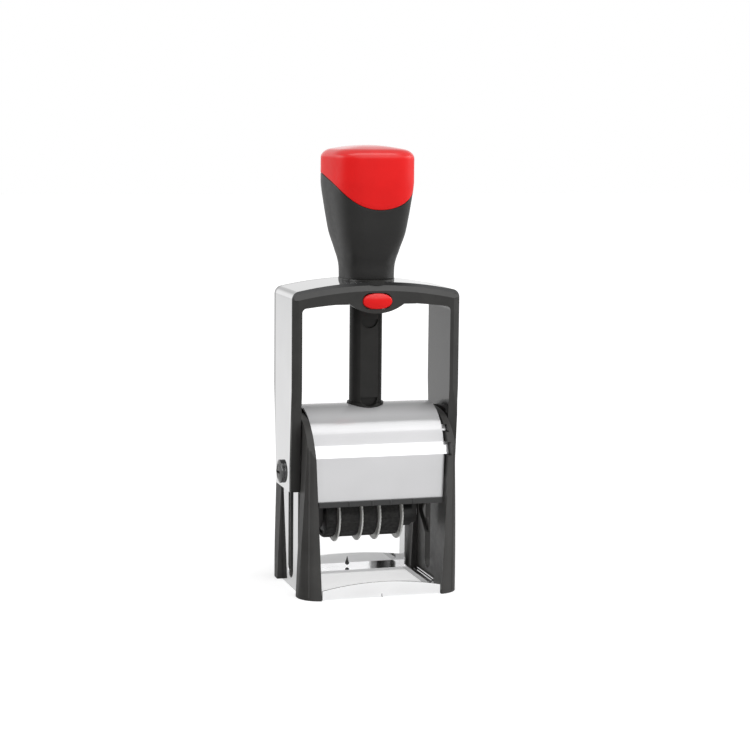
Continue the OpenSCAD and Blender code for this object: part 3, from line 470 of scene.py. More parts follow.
@dataclass(frozen=True)
class BrushedSteel(Finish):
    """Drawn or turned steel with fine lines along one axis."""

    roughness: Span = (0.22, 0.38)
    metallic: float = 1.0
    shift: float = 0.15
    cloud: Noise = LINES_X
    spot: Noise = LINES_X
    relief: Noise = LINES_X
    strength: float = 0.4


@dataclass(frozen=True)
class Rubber(Finish):
    """Matt rubber with a dusty skin."""

    roughness: Span = (0.5, 0.7)
    specular: float = 0.18
    shift: float = 0.3
    cloud: Noise = Noise(1.5 * MM)
    spot: Noise = Noise(0.8 * MM)
    relief: Noise = Noise(0.15 * MM)
    depth: float = 0.02 * MM
    strength: float = 0.6


@dataclass(frozen=True)
class InkedFelt(Finish):
    """Felt soaked in ink: short fibres, darker where the ink pools."""

    roughness: Span = (0.75, 0.95)
    specular: float = 0.2
    shift: float = 0.45
    cloud: Noise = Noise(3 * MM, detail=6.0)
    spot: Noise = Noise(0.6 * MM)
    relief: Noise = Noise(0.3 * MM, detail=5.0, stretch=(1.0, 0.35, 1.0))
    depth: float = 0.15 * MM
    strength: float = 0.8
    sheen: float = 0.25
    sheen_roughness: float = 0.5

    def dress(self, graph: Graph) -> None:
        """Add the sheen of the fibres."""
        graph.fix(Sheen_Weight=self.sheen, Sheen_Roughness=self.sheen_roughness)


# Satin black faces turned away from the middle get painted shade.
SATIN_BLACK = MouldedPlastic(
    "satin_black_plastic", Slot.SATIN_BLACK, (0.052, 0.051, 0.0492), outer_shade_share=0.8)
BEZEL_BLACK = MouldedPlastic(
    "bezel_black_plastic", Slot.SATIN_BLACK, (0.032, 0.0314, 0.0302), top_roughness=0.3, side_roughness=0.2)
HANDLE_BLACK = MouldedPlastic(
    "handle_black_plastic", Slot.SATIN_BLACK, (0.0115, 0.0112, 0.0106), roughness=(0.34, 0.42), specular=0.26)
DARK_PLASTIC = MouldedPlastic(
    "dark_plastic", Slot.DARK_PLASTIC, (0.018, 0.0176, 0.017), roughness=(0.36, 0.44), specular=0.14)
COLUMN_BLACK = MouldedPlastic(
    "column_black_plastic", Slot.DARK_PLASTIC, (0.026, 0.0256, 0.0246), roughness=(0.42, 0.5), specular=0.12)
RED_GLOSS = MouldedPlastic(
    "red_gloss_plastic", Slot.RED_GLOSS, (0.76, 0.012, 0.012), roughness=(0.36, 0.42), specular=0.12,
    shift=0.03, depth=0.0, top_roughness=0.22)
WHEEL_PLASTIC = MouldedPlastic(
    "wheel_plastic", Slot.WHEEL_PLASTIC, (0.95, 0.95, 0.93), roughness=(0.3, 0.4), metallic=0.7, shift=0.03,
    depth=0.0)
# The chassis gets painted shade on its side walls, and a darker band on the upward faces along the front lip.
CHROME = PolishedChrome(
    "polished_chrome", Slot.CHROME, (0.95, 0.95, 0.955), side_shade_share=0.74,
    dark_edge=(-27.3 * MM, -27.5 * MM))
# The strip gets painted shade on its top and front, a painted neck shadow, and painted dark reflections on
# its bend and rear edge.
STRIP_CHROME = PolishedChrome(
    "strip_chrome", Slot.CHROME, (0.74, 0.74, 0.745), roughness=(0.03, 0.05), top_shade_share=0.66,
    front_shade_share=0.15, bend_reflection_share=0.5, rear_reflection_edge=(11.9 * MM, 13.4 * MM))
# The cover's top turns less metallic and gets painted shade.
SATIN_CHROME = PolishedChrome(
    "satin_chrome", Slot.CHROME, (0.62, 0.62, 0.628), roughness=(0.15, 0.17), metallic=0.62, depth=0.004 * MM,
    top_metallic=0.1, top_shade_share=0.72)
STEEL = BrushedSteel("brushed_steel", Slot.STEEL, (0.5, 0.51, 0.52))
SPRING_STEEL = BrushedSteel(
    "spring_steel", Slot.STEEL, (0.3, 0.3, 0.3), cloud=LINES_Z, spot=LINES_Z, relief=LINES_Z)
DARK_STEEL = BrushedSteel("blackened_steel", Slot.DARK_STEEL, (0.09, 0.09, 0.09), roughness=(0.12, 0.16))
RUBBER = Rubber("band_rubber", Slot.RUBBER, (0.034, 0.0335, 0.0325))
INKED_FELT = InkedFelt("inked_felt", Slot.FELT, (0.03, 0.035, 0.12))


def piece(
    name: str, bm: BMesh, finish: Finish, body: str, sharp: float = 35.0, weighted: bool = True,
) -> bpy.types.Object:
    """Turn a bmesh into a dressed object that rides on a body.

    Args:
        name: Name of the piece.
        bm: Its mesh in metres, in the shared frame. It is freed.
        finish: Finish of the whole piece.
        body: Body that it moves with.
        sharp: Angle in degrees past which an edge shades sharp.
        weighted: True where large faces keep their own normals beside rounded edges.

    Returns:
        The new object.
    """
    mesh = bpy.data.meshes.new(name)
    bm.to_mesh(mesh)
    bm.free()
    for spare in ("custom_normal", "turn"):
        if spare in mesh.attributes:
            mesh.attributes.remove(mesh.attributes[spare])
    mesh.materials.clear()
    mesh.materials.append(finish.material())
    mesh.shade_smooth()
    mesh.set_sharp_from_angle(angle=math.radians(sharp))
    made = bpy.data.objects.new(name, mesh)
    bpy.context.scene.collection.objects.link(made)
    if weighted:
        normals = made.modifiers.new("face_normals", "WEIGHTED_NORMAL")
        normals.keep_sharp = True
        normals.weight = FACE_WEIGHT
    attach(made, body)
    log.info("%s: %d faces on %s", name, len(mesh.polygons), body)
    return made


class RingLoft:
    """Wall that grows by extruding its open rim, ring by ring."""

    def __init__(self, count: int) -> None:
        """Start from a circle.

        Args:
            count: Points on each ring.
        """
        self.bm = bmesh.new()
        self.turn = self.bm.verts.layers.float.new("turn")
        self.first = bmesh.ops.create_circle(self.bm, radius=1.0, segments=count)["verts"]
        for vert in self.first:
            vert[self.turn] = math.atan2(vert.co.y, vert.co.x)
        self.first_edges = list(self.bm.edges)
        self.verts = self.first
        self.edges = self.first_edges

    def set(self, place: Rule) -> None:
        """Place the rim's points by their turn about the axis."""
        for vert in self.verts:
            vert.co = place(vert[self.turn])

    def ring(self, place: Rule) -> None:
        """Extrude the rim and place the new ring's points."""
        grown = bmesh.ops.extrude_edge_only(self.bm, edges=self.edges)["geom"]
        self.verts = [g for g in grown if isinstance(g, bmesh.types.BMVert)]
        new = set(self.verts)
        self.edges = [g for g in grown if isinstance(g, bmesh.types.BMEdge) and new.issuperset(g.verts)]
        self.set(place)

    def restart(self) -> None:
        """Go on from the first ring, on its open side."""
        self.verts = self.first
        self.edges = self.first_edges

    def close(self) -> None:
        """Fill the rim with one face."""
        bmesh.ops.edgeloop_fill(self.bm, edges=self.edges)

    def close_both(self) -> None:
        """Fill the rim and the first ring."""
        self.close()
        self.restart()
        self.close()

    def finish(self) -> BMesh:
        """Turn all faces outwards and return the mesh."""
        bmesh.ops.recalc_face_normals(self.bm, faces=self.bm.faces)
        return self.bm


def oval(half_x: float, half_y: float, power: float, turn: float) -> tuple[float, float]:
    """Point on a squared oval.

    Args:
        half_x: Half width.
        half_y: Half depth.
        power: 2 for an ellipse, more for a squarer outline.
        turn: Angle of the point about the middle.

    Returns:
        The point's x and y.
    """
    c, s = math.cos(turn), math.sin(turn)
    reach = (abs(c / half_x) ** power + abs(s / half_y) ** power) ** (-1.0 / power)
    return reach * c, reach * s


def level_ring(half_x: float, half_y: float, power: float, z: float) -> Rule:
    """Rule that places a level squared oval at a height, all in millimetres."""
    return lambda turn: Vector((*oval(half_x, half_y, power, turn), z)) * MM


def with_links(verts: list[bmesh.types.BMVert]) -> list:
    """Vertices with all edges and faces that meet at them."""
    edges = {e for v in verts for e in v.link_edges}
    faces = {f for v in verts for f in v.link_faces}
    return [*verts, *edges, *faces]


@dataclass
class CadDress:
    """CAD pieces that keep their shape and get broken edges and a finish.

    In degrees, faces within the flat angle are joined, edges past the sharp angle are broken, and those past
    the shade angle shade sharp.
    """

    finish: Finish
    nodes: tuple[str, ...]
    edge: float
    flat: float = 0.4
    sharp: float = 28.0
    shade: float = 50.0

    def build(self) -> None:
        """Dress every node of the group."""
        for node in self.nodes:
            self.soften(node)

    def soften(self, node: str) -> None:
        """Stand a copy of a node, with its sharp edges broken, in the node's place.

        Args:
            node: Name of the CAD node.
        """
        source = frame["nodes"][node]
        bm = bmesh.new()
        bm.from_mesh(source.data)
        bmesh.ops.remove_doubles(bm, verts=bm.verts, dist=MERGE)
        self.shape(bm)
        flat = math.radians(self.flat)
        bmesh.ops.dissolve_limit(bm, angle_limit=flat, verts=bm.verts, edges=bm.edges)
        limit = math.radians(self.sharp)
        corners = [e for e in bm.edges if len(e.link_faces) == 2 and e.calc_face_angle(0.0) > limit]
        bmesh.ops.bevel(
            bm, geom=corners, offset=self.edge * MM, offset_type="OFFSET", segments=2, profile=0.5,
            affect="EDGES", clamp_overlap=True, material=-1)
        made = piece(f"{node}_shell", bm, self.finish, source["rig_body"], sharp=self.shade)
        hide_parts(node)

    def shape(self, bm: BMesh) -> None:
        """Leave the copy as the node is. A kind of dress may shape it here."""


@dataclass
class BezelDress(CadDress):
    """Bezel whose outer front edges get a wider slope."""

    slope_x: float = 35.9
    slope_gap: float = 0.03
    widen: float = 1.4
    rise: float = 0.3
    corner_z: float = 120.0

    def shape(self, bm: BMesh) -> None:
        """Draw the inner edge of both slopes towards the middle."""
        for vert in bm.verts:
            if abs(abs(vert.co.x) - self.slope_x * MM) < self.slope_gap * MM:
                vert.co.x -= math.copysign(self.widen * MM, vert.co.x)
                vert.co.z += self.rise * MM if vert.co.z > self.corner_z * MM else 0.0


@dataclass
class CollarDress(CadDress):
    """Collar that leaves a little more of the neck to the grip."""

    top: float = NECK_JOINT
    lower_from: float = 136.4

    def shape(self, bm: BMesh) -> None:
        """Lower the top face."""
        for vert in bm.verts:
            if vert.co.z > self.lower_from * MM:
                vert.co.z = self.top * MM


@dataclass
class CadFinish:
    """CAD pieces inside the stamp that keep their mesh and get a finish."""

    finish: Finish
    nodes: tuple[str, ...]

    def build(self) -> None:
        """Put the finish on every node of the group."""
        for node in self.nodes:
            slots = frame["nodes"][node].data.materials
            slots.clear()
            slots.append(self.finish.material())
            log.info("%s: finish %s", node, self.finish.name)


@dataclass
class Handle:
    """Black grip with a red cap whose edge drops to a round tongue in front."""

    # Share of the grip's height, half width, half depth and squareness of each section
    sections: tuple[tuple[float, float, float, float], ...] = (
        (0.0, 11.5, 11.0, 2.6), (0.12, 11.7, 11.3, 2.7), (0.25, 12.7, 13.1, 3.1),
        (0.45, 14.8, 15.1, 3.7), (0.69, 16.5, 16.3, 3.8), (1.0, 18.3, 18.2, 3.4))
    low: float = 136.497
    foot: float = NECK_JOINT
    foot_edge: float = 0.1
    cap_base: float = 176.597
    shoulder: float = 186.597
    top: float = 192.2
    # Inset and rise of the rounded rim, had it a full quarter turn
    rim: Span = (5.8, 4.2)
    rim_lean: float = math.radians(80.0)
    crown_shares: tuple[float, ...] = (0.9, 0.75, 0.55, 0.35, 0.15)
    tongue_low: float = 164.5
    tongue_r: float = 25.0
    tilt: float = math.radians(16.0)
    turn: float = math.radians(6.0)
    # Half width, half depth and squareness of the grip's plug
    plug: tuple[float, float, float] = (13.6, 13.2, 4.0)
    plug_top: float = 186.697
    plug_gap: float = 0.1
    hollow_r: float = 7.5
    hollow_top: float = 184.697
    seam: float = 0.22
    # Height over the parting line and inset of each ring of a lip, in widths of the seam
    grip_lip: tuple[Span, ...] = ((-1.0, 0.4), (-0.6, 2.0))
    cap_lip: tuple[Span, ...] = ((0.0, 2.0), (0.3, 0.5))
    count: int = 128
    grip_rows: int = 36
    cap_rows: int = 12
    rim_rows: int = 8
    parting_rounds: int = 12
    shade: float = 40.0

    def section(self, z: float) -> tuple[float, float, float]:
        """Blend the sections at a height.

        Args:
            z: Height in millimetres.

        Returns:
            Half width, half depth and squareness.
        """
        share = min(max((z - self.low) / (self.cap_base - self.low), 0.0), 1.0)
        last = len(self.sections) - 1
        i = max(k for k in range(last) if share >= self.sections[k][0])
        before, start, end, after = (self.sections[min(max(i + k, 0), last)] for k in (-1, 0, 1, 2))
        t = (share - start[0]) / (end[0] - start[0])
        rise, fall = t**3 - 2 * t**2 + t, t**3 - t**2
        blend = 3 * t**2 - 2 * t**3
        return tuple(
            start[k] * (1 - blend) + end[k] * blend
            + rise * (end[k] - before[k]) / 2 + fall * (after[k] - start[k]) / 2
            for k in (1, 2, 3))

    def outline(self, z: float, turn: float, inset: float = 0.0) -> Vector:
        """Point on the handle's side at a height, in millimetres."""
        half_x, half_y, power = self.section(z)
        x, y = oval(half_x - inset, half_y - inset, power, turn)
        return Vector((x, y, z))

    def parting(self, point: Vector) -> float:
        """Height of the line between grip and cap over a point of the plan."""
        drop = self.tongue_r - math.sqrt(self.tongue_r**2 - point.x**2)
        depth = self.sections[-1][2]
        return self.tongue_low + math.tan(self.tilt) * (point.y + depth) + drop / math.cos(self.tilt)

    def parting_at(self, turn: float) -> float:
        """Height of the parting line on the handle's side at a turn."""
        z = self.cap_base
        for _ in range(self.parting_rounds):
            z = self.parting(self.outline(z, turn))
        return z

    def start(self) -> tuple[RingLoft, dict[float, float]]:
        """Start a loft, and work out the parting line's height at each of its turns."""
        loft = RingLoft(self.count)
        return loft, {vert[loft.turn]: self.parting_at(vert[loft.turn]) for vert in loft.verts}

    def plug_point(self, z: float, turn: float) -> Vector:
        """Point on the side of the grip's plug, in millimetres."""
        return Vector((*oval(*self.plug, turn), z))

    def grip(self) -> None:
        """Loft the grip, with its plug under the cap and its hollow for the column."""
        loft, lines = self.start()
        seam = self.seam
        foot = self.foot + self.foot_edge
        loft.set(lambda turn: self.outline(self.foot, turn, self.foot_edge) * MM)
        for row in range(self.grip_rows + 1):
            share = row / self.grip_rows
            loft.ring(lambda turn: self.outline(foot + share * (lines[turn] - 2 * seam - foot), turn) * MM)
        for rise, inset in self.grip_lip:
            loft.ring(lambda turn: self.outline(lines[turn] + rise * seam, turn, inset * seam) * MM)
        loft.ring(lambda turn: self.plug_point(lines[turn] + rise * seam, turn) * MM)
        loft.ring(level_ring(*self.plug, self.plug_top - self.plug_gap))
        loft.close()
        loft.restart()
        for z in (self.foot, self.hollow_top):
            loft.ring(level_ring(self.hollow_r, self.hollow_r, 2.0, z))
        loft.close()
        self.dress("grip_shell", loft, HANDLE_BLACK, "handle_grip")

    def cap(self) -> None:
        """Loft the red cap from the parting line over the rim to the crown."""
        loft, lines = self.start()
        seam = self.seam
        (low, deep), (high, shallow) = self.cap_lip
        loft.set(lambda turn: self.outline(lines[turn] + low * seam, turn, deep * seam) * MM)
        loft.ring(lambda turn: self.outline(lines[turn] + high * seam, turn, shallow * seam) * MM)
        for row in range(self.cap_rows + 1):
            share = row / self.cap_rows
            loft.ring(lambda turn: self.outline(
                lines[turn] + seam + share * (self.shoulder - lines[turn] - seam), turn) * MM)
        half_x, half_y, power = self.section(self.shoulder)
        for step in range(1, self.rim_rows + 1):
            lean = self.rim_lean * step / self.rim_rows
            inset = self.rim[0] * (1 - math.cos(lean))
            z = self.shoulder + self.rim[1] * math.sin(lean)
            loft.ring(level_ring(half_x - inset, half_y - inset, power, z))
        crown = self.top - z
        for share in self.crown_shares:
            height = self.top - crown * share**2
            loft.ring(level_ring((half_x - inset) * share, (half_y - inset) * share, power, height))
        loft.close()
        loft.restart()
        loft.ring(lambda turn: self.plug_point(lines[turn], turn) * MM)
        loft.ring(level_ring(*self.plug, self.plug_top))
        loft.close()
        self.dress("cap_shell", loft, RED_GLOSS, "handle_cap")

    def dress(self, name: str, loft: RingLoft, finish: Finish, node: str) -> None:
        """Turn a loft as the handle sits on its screws, and stand it in a node's place.

        Args:
            name: Name of the piece.
            loft: Its closed loft.
            finish: Finish of the whole piece.
            node: CAD node that it replaces.
        """
        bm = loft.finish()
        bmesh.ops.rotate(bm, verts=bm.verts, matrix=Matrix.Rotation(self.turn, 3, "Z"))
        made = piece(name, bm, finish, Body.YOKE.value, sharp=self.shade, weighted=False)
        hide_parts(node)

    def build(self) -> None:
        """Build grip and cap."""
        self.grip()
        self.cap()


@dataclass
class LockButton:
    """Red oval push button with a domed face and a half-round latch tongue."""

    z: float = 126.397
    face: float = -18.95
    rear: float = -14.35
    half_w: float = 6.45
    half_h: float = 3.35
    rim: float = 0.7
    rim_lean: float = math.radians(75.0)
    rim_rows: int = 5
    dome: float = 0.55
    dome_shares: tuple[float, ...] = (0.8, 0.55, 0.3)
    tongue_r: float = 3.4
    tongue_drop: float = 0.1
    tongue_root: float = 0.1
    tongue_end: float = -6.1
    power: float = 2.2
    count: int = 72

    def ring(self, y: float, inset: float, share: float = 1.0) -> Rule:
        """Rule that places an outline of the button at a depth.

        Args:
            y: Depth in millimetres.
            inset: Inset from the button's side in millimetres.
            share: Share of the inset outline's size.

        Returns:
            The rule.
        """
        half_w, half_h = (self.half_w - inset) * share, (self.half_h - inset) * share

        def place(turn: float) -> Vector:
            """Point of the outline at a turn."""
            x, up = oval(half_w, half_h, self.power, turn)
            return Vector((x, y, self.z + up)) * MM

        return place

    def build(self) -> None:
        """Loft the button and add its tongue."""
        loft = RingLoft(self.count)
        loft.set(self.ring(self.rear, 0.0))
        wall = self.face + self.dome + self.rim
        loft.ring(self.ring(wall, 0.0))
        for step in range(1, self.rim_rows + 1):
            lean = self.rim_lean * step / self.rim_rows
            loft.ring(self.ring(wall - self.rim * math.sin(lean), self.rim * (1 - math.cos(lean))))
        for share in self.dome_shares:
            loft.ring(self.ring(self.face + self.dome * share**2, self.rim, share))
        loft.close_both()
        bm = loft.finish()
        tongue = (self.rear - self.tongue_root, self.tongue_end)
        half_moon(bm, self.z - self.tongue_drop, self.tongue_r, tongue)
        made = piece("button_shell", bm, RED_GLOSS, Body.LOCK_BUTTON.value, sharp=45.0, weighted=False)
        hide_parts("lock_button")


def half_moon(bm: BMesh, z: float, radius: float, span: Span, sides: int = 48) -> None:
    """Add the lower half of a round bar that runs along Y.

    Args:
        bm: Mesh that the bar joins.
        z: Height of its axis in millimetres.
        radius: Its radius in millimetres.
        span: Y of its two ends in millimetres.
        sides: Sides of the whole bar.
    """
    middle = Vector((0.0, span[0], z)) * MM
    place = Matrix.Translation(middle) @ Matrix.Rotation(-math.pi / 2, 4, "X")
    circle = bmesh.ops.create_circle(bm, cap_ends=True, radius=radius * MM, segments=sides, matrix=place)
    cut = bmesh.ops.bisect_plane(
        bm, geom=with_links(circle["verts"]), plane_co=middle, plane_no=(0, 0, 1), clear_outer=True)
    face = [g for g in cut["geom"] if isinstance(g, bmesh.types.BMFace)]
    grown = bmesh.ops.extrude_face_region(bm, geom=face)["geom"]
    moved = [g for g in grown if isinstance(g, bmesh.types.BMVert)]
    bmesh.ops.translate(bm, verts=moved, vec=Vector((0, span[1] - span[0], 0)) * MM)
    bmesh.ops.recalc_face_normals(bm, faces=bm.faces)


@dataclass
class Marks:
    """Small marks: floors of the latch pockets and the sighting drop of the rear lip."""

    pockets: tuple[float, ...] = (126.397, 117.397, 83.397)
    pocket_r: float = 3.75
    pocket_span: Span = (-4.45, -4.25)
    drop_z: float = 2.8
    drop_r: float = 0.95
    drop_span: Span = (26.95, 27.45)
    drop_waist: float = 0.45
    drop_tip: float = 2.0
    drop_count: int = 32

    def build(self) -> None:
        """Build all marks."""
        bm = bmesh.new()
        for z in self.pockets:
            half_moon(bm, z, self.pocket_r, self.pocket_span)
        piece("latch_pockets", bm, COLUMN_BLACK, Body.BASE.value)
        drop = RingLoft(self.drop_count)
        drop.set(self.drop_ring(self.drop_span[0]))
        drop.ring(self.drop_ring(self.drop_span[1]))
        drop.close_both()
        piece("sight_drop", drop.finish(), DARK_PLASTIC, Body.BASE.value)

    def drop_ring(self, y: float) -> Rule:
        """Rule that places the outline of the sighting drop at a depth.

        Args:
            y: Depth in millimetres.

        Returns:
            The rule.
        """
        def place(turn: float) -> Vector:
            """Point of the outline at a turn."""
            up = max(0.0, math.sin(turn))
            x = math.cos(turn) * (1.0 - self.drop_waist * up)
            rise = math.sin(turn) + self.drop_tip * up**3
            return Vector((self.drop_r * x, y, self.drop_z + self.drop_r * rise)) * MM

        return place


def turned(bm: BMesh, profile: Iterable[Span], z: float, steps: int) -> list[bmesh.types.BMVert]:
    """Spin a closed profile about the wheel axle, which runs along X.

    Args:
        bm: Mesh that the turned piece joins.
        profile: Points of the profile as x and radius, in millimetres.
        z: Height of the axle in millimetres.
        steps: Steps of the full turn.

    Returns:
        The new vertices.
    """
    before = set(bm.verts)
    verts = [bm.verts.new(Vector((x, 0.0, z + r)) * MM) for x, r in profile]
    edges = [bm.edges.new((verts[i - 1], verts[i])) for i in range(len(verts))]
    bmesh.ops.spin(
        bm, geom=verts + edges, cent=Vector((0, 0, z)) * MM, axis=(1, 0, 0), angle=2 * math.pi,
        steps=steps, use_merge=True)
    return [v for v in bm.verts if v not in before]


@dataclass
class DateUnit:
    """Setting wheels with their drums, and the rubber bands round drum and nose."""

    wheel_xs: tuple[float, ...] = (-14.2, -4.03, 4.03, 14.2)
    axle_z: float = 31.397
    wheel_r: float = 12.0
    wheel_t: float = 0.8
    rim_edge: float = 0.15
    tooth: float = 0.32
    tooth_root: float = 0.05
    teeth: int = 44
    # Depth of the groove in a wheel's face, radii of its inner slope, distance of its outer one from the rim
    groove: float = 0.12
    groove_r: Span = (9.0, 9.4)
    groove_rim: Span = (0.6, 0.3)
    drum_r: float = 8.1
    drum_gap: float = 0.2
    drum_end: float = 0.4
    drum_slope: Span = (1.2, 0.8)
    drum_steps: int = 64
    bore_r: float = 2.05
    band_lefts: tuple[float, ...] = (-19.6, -13.5, -3.33, 4.73)
    band_gap: float = 0.3
    band_r: float = 10.0
    band_t: float = 1.65
    band_edge: float = 0.25
    band_points: int = 180
    relief: float = 0.2
    nose_z: float = 56.847
    nose_r: float = 2.85
    pads: int = 30
    pad_t: float = 1.3
    pad_edge: float = 0.12
    pad_margin: float = 0.7

    def wheel(self, index: int) -> None:
        """Build one serrated wheel and its drum.

        Args:
            index: Place of the wheel on the axle, from the left.
        """
        body = f"date_wheel_{index + 1}"
        left = self.wheel_xs[index] - self.wheel_t / 2
        right = self.wheel_xs[index] + self.wheel_t / 2
        rim = self.wheel_r - self.rim_edge
        floor = left + self.groove
        bm = bmesh.new()
        profile = (
            (left, self.bore_r), (left, self.groove_r[0]), (floor, self.groove_r[1]),
            (floor, rim - self.groove_rim[0]), (left, rim - self.groove_rim[1]), (left, rim),
            (left + self.rim_edge, self.wheel_r), (right - self.rim_edge, self.wheel_r), (right, rim),
            (right, self.bore_r))
        for vert in turned(bm, profile, self.axle_z, 2 * self.teeth):
            up = vert.co.z - self.axle_z * MM
            out = math.hypot(vert.co.y, up)
            step = round(math.atan2(vert.co.y, up) * self.teeth / math.pi)
            if out > (rim - self.tooth_root) * MM and step % 2:
                scale = 1 - self.tooth * MM / out
                vert.co.y *= scale
                vert.co.z = self.axle_z * MM + up * scale
        bmesh.ops.remove_doubles(bm, verts=bm.verts, dist=MERGE)
        bmesh.ops.recalc_face_normals(bm, faces=bm.faces)
        made = piece(f"{body}_disc", bm, WHEEL_PLASTIC, body, sharp=30.0, weighted=False)
        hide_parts(body)
        bm = bmesh.new()
        start = self.band_lefts[index] + self.drum_gap
        inner = start + self.drum_end
        profile = (
            (start, self.bore_r), (start, self.drum_r - self.drum_slope[0]),
            (inner, self.drum_r - self.drum_slope[1]), (inner, self.drum_r), (left, self.drum_r),
            (left, self.bore_r))
        turned(bm, profile, self.axle_z, self.drum_steps)
        bmesh.ops.recalc_face_normals(bm, faces=bm.faces)
        piece(f"{body}_drum", bm, DARK_PLASTIC, body, sharp=30.0)

    def loop_point(self, share: float, inset: float) -> tuple[float, float, float]:
        """Point on the band's loop.

        Args:
            share: Share of the way round, from 0 to 1.
            inset: Depth below the band's outer surface, in millimetres.

        Returns:
            The point's y and z in millimetres, and the turn of its outward normal from +Y.
        """
        slope = math.asin((self.band_r - self.nose_r) / (self.nose_z - self.axle_z))
        low, high = self.band_r - inset, self.nose_r - inset
        run = math.sqrt((self.nose_z - self.axle_z) ** 2 - (self.band_r - self.nose_r) ** 2)
        arc_low, arc_high = (math.pi + 2 * slope) * self.band_r, (math.pi - 2 * slope) * self.nose_r
        way = share * (arc_low + arc_high + 2 * run)
        if way < arc_low:
            turn = slope - way / self.band_r
            return low * math.cos(turn), self.axle_z + low * math.sin(turn), turn
        way -= arc_low
        turn = math.pi - slope
        if way < run:
            y, z = low * math.cos(turn), self.axle_z + low * math.sin(turn)
            return y + way * math.sin(slope), z + way * math.cos(slope), turn
        way -= run
        if way < arc_high:
            turn -= way / self.nose_r
            return high * math.cos(turn), self.nose_z + high * math.sin(turn), turn
        way -= arc_high
        y, z = high * math.cos(slope), self.nose_z + high * math.sin(slope)
        return y + way * math.sin(slope), z - way * math.cos(slope), slope

    def band(self, index: int) -> None:
        """Build one rubber band with its raised pads.

        Args:
            index: Place of the band on the axle, from the left.
        """
        left = self.band_lefts[index]
        right = self.wheel_xs[index] - self.wheel_t / 2 - self.band_gap
        loft = RingLoft(self.band_points)

        def at(x: float, inset: float) -> Rule:
            """Rule that places a ring of the band at x."""
            return lambda turn: Vector((x, *self.loop_point((turn / (2 * math.pi)) % 1.0, inset)[:2])) * MM

        edge = self.relief + self.band_edge
        loft.set(at(left, self.band_t))
        loft.ring(at(left, edge))
        loft.ring(at(left + self.band_edge, self.relief))
        loft.ring(at(right - self.band_edge, self.relief))
        loft.ring(at(right, edge))
        loft.ring(at(right, self.band_t))
        bmesh.ops.bridge_loops(loft.bm, edges=loft.edges + loft.first_edges)
        half_pad = (right - left) / 2 - self.pad_margin
        for step in range(self.pads):
            self.pad(loft.bm, (left + right) / 2, half_pad, (step + 0.5) / self.pads)
        node = f"date_band_{index + 1}"
        made = piece(f"{node}_loop", loft.finish(), RUBBER, Body.CARRIAGE.value, sharp=40.0, weighted=False)
        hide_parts(node)

    def pad(self, bm: BMesh, x: float, half_x: float, share: float) -> None:
        """Add one raised pad to a band.

        Args:
            bm: Mesh that the pad joins.
            x: Middle of the band.
            half_x: Half length of the pad along the axle.
            share: Place of the pad round the loop.
        """
        y, z, turn = self.loop_point(share, self.relief)
        place = Matrix.Translation(Vector((x, y, z)) * MM) @ Matrix.Rotation(turn, 4, "X")
        size = Matrix.Diagonal((2 * half_x * MM, 2 * self.relief * MM, self.pad_t * MM, 1.0))
        made = bmesh.ops.create_cube(bm, size=1.0, matrix=place @ size)
        edges = list({e for v in made["verts"] for e in v.link_edges})
        bmesh.ops.bevel(
            bm, geom=edges, offset=self.pad_edge * MM, segments=1, profile=0.5, affect="EDGES", material=-1)

    def build(self) -> None:
        """Build the four wheels and the four bands."""
        for index in range(len(self.wheel_xs)):
            self.wheel(index)
            self.band(index)


@dataclass
class Coil:
    """Wire spring wound by spinning a round section along its axis."""

    name: str
    node: str
    body: Body
    joint: str
    start: Point
    axis: Point
    radius: float
    wire: float
    runs: tuple[Span, ...]
    anchor: Point
    travel: float
    steps_per_turn: int = 24
    sides: int = 10

    def build(self) -> None:
        """Wind the spring, let it ride on its body and hide its node."""
        axis = Vector(self.axis)
        side = Vector((1.0, 0.0, 0.0))
        centre = Vector(self.start)
        bm = bmesh.new()
        place = Matrix.Translation((centre + side * self.radius) * MM)
        across = axis.cross(side)
        place @= Matrix((side, axis, across)).transposed().to_4x4()
        section = bmesh.ops.create_circle(
            bm, cap_ends=True, radius=self.wire / 2 * MM, segments=self.sides, matrix=place)
        geom = with_links(section["verts"])
        for turns, pitch in self.runs:
            steps = round(turns * self.steps_per_turn)
            wound = bmesh.ops.spin(
                bm, geom=geom, cent=centre * MM, axis=axis, dvec=axis * (pitch * turns / steps * MM),
                angle=2 * math.pi * turns, steps=steps)
            geom = wound["geom_last"]
            centre += axis * pitch * turns
        bmesh.ops.remove_doubles(bm, verts=bm.verts, dist=MERGE)
        bmesh.ops.recalc_face_normals(bm, faces=bm.faces)
        made = piece(self.name, bm, SPRING_STEEL, self.body.value, sharp=45.0, weighted=False)
        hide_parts(self.node)
        low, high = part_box(self.node)
        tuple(self.axis)
        tuple(a * MM for a in self.anchor)
        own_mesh(made)


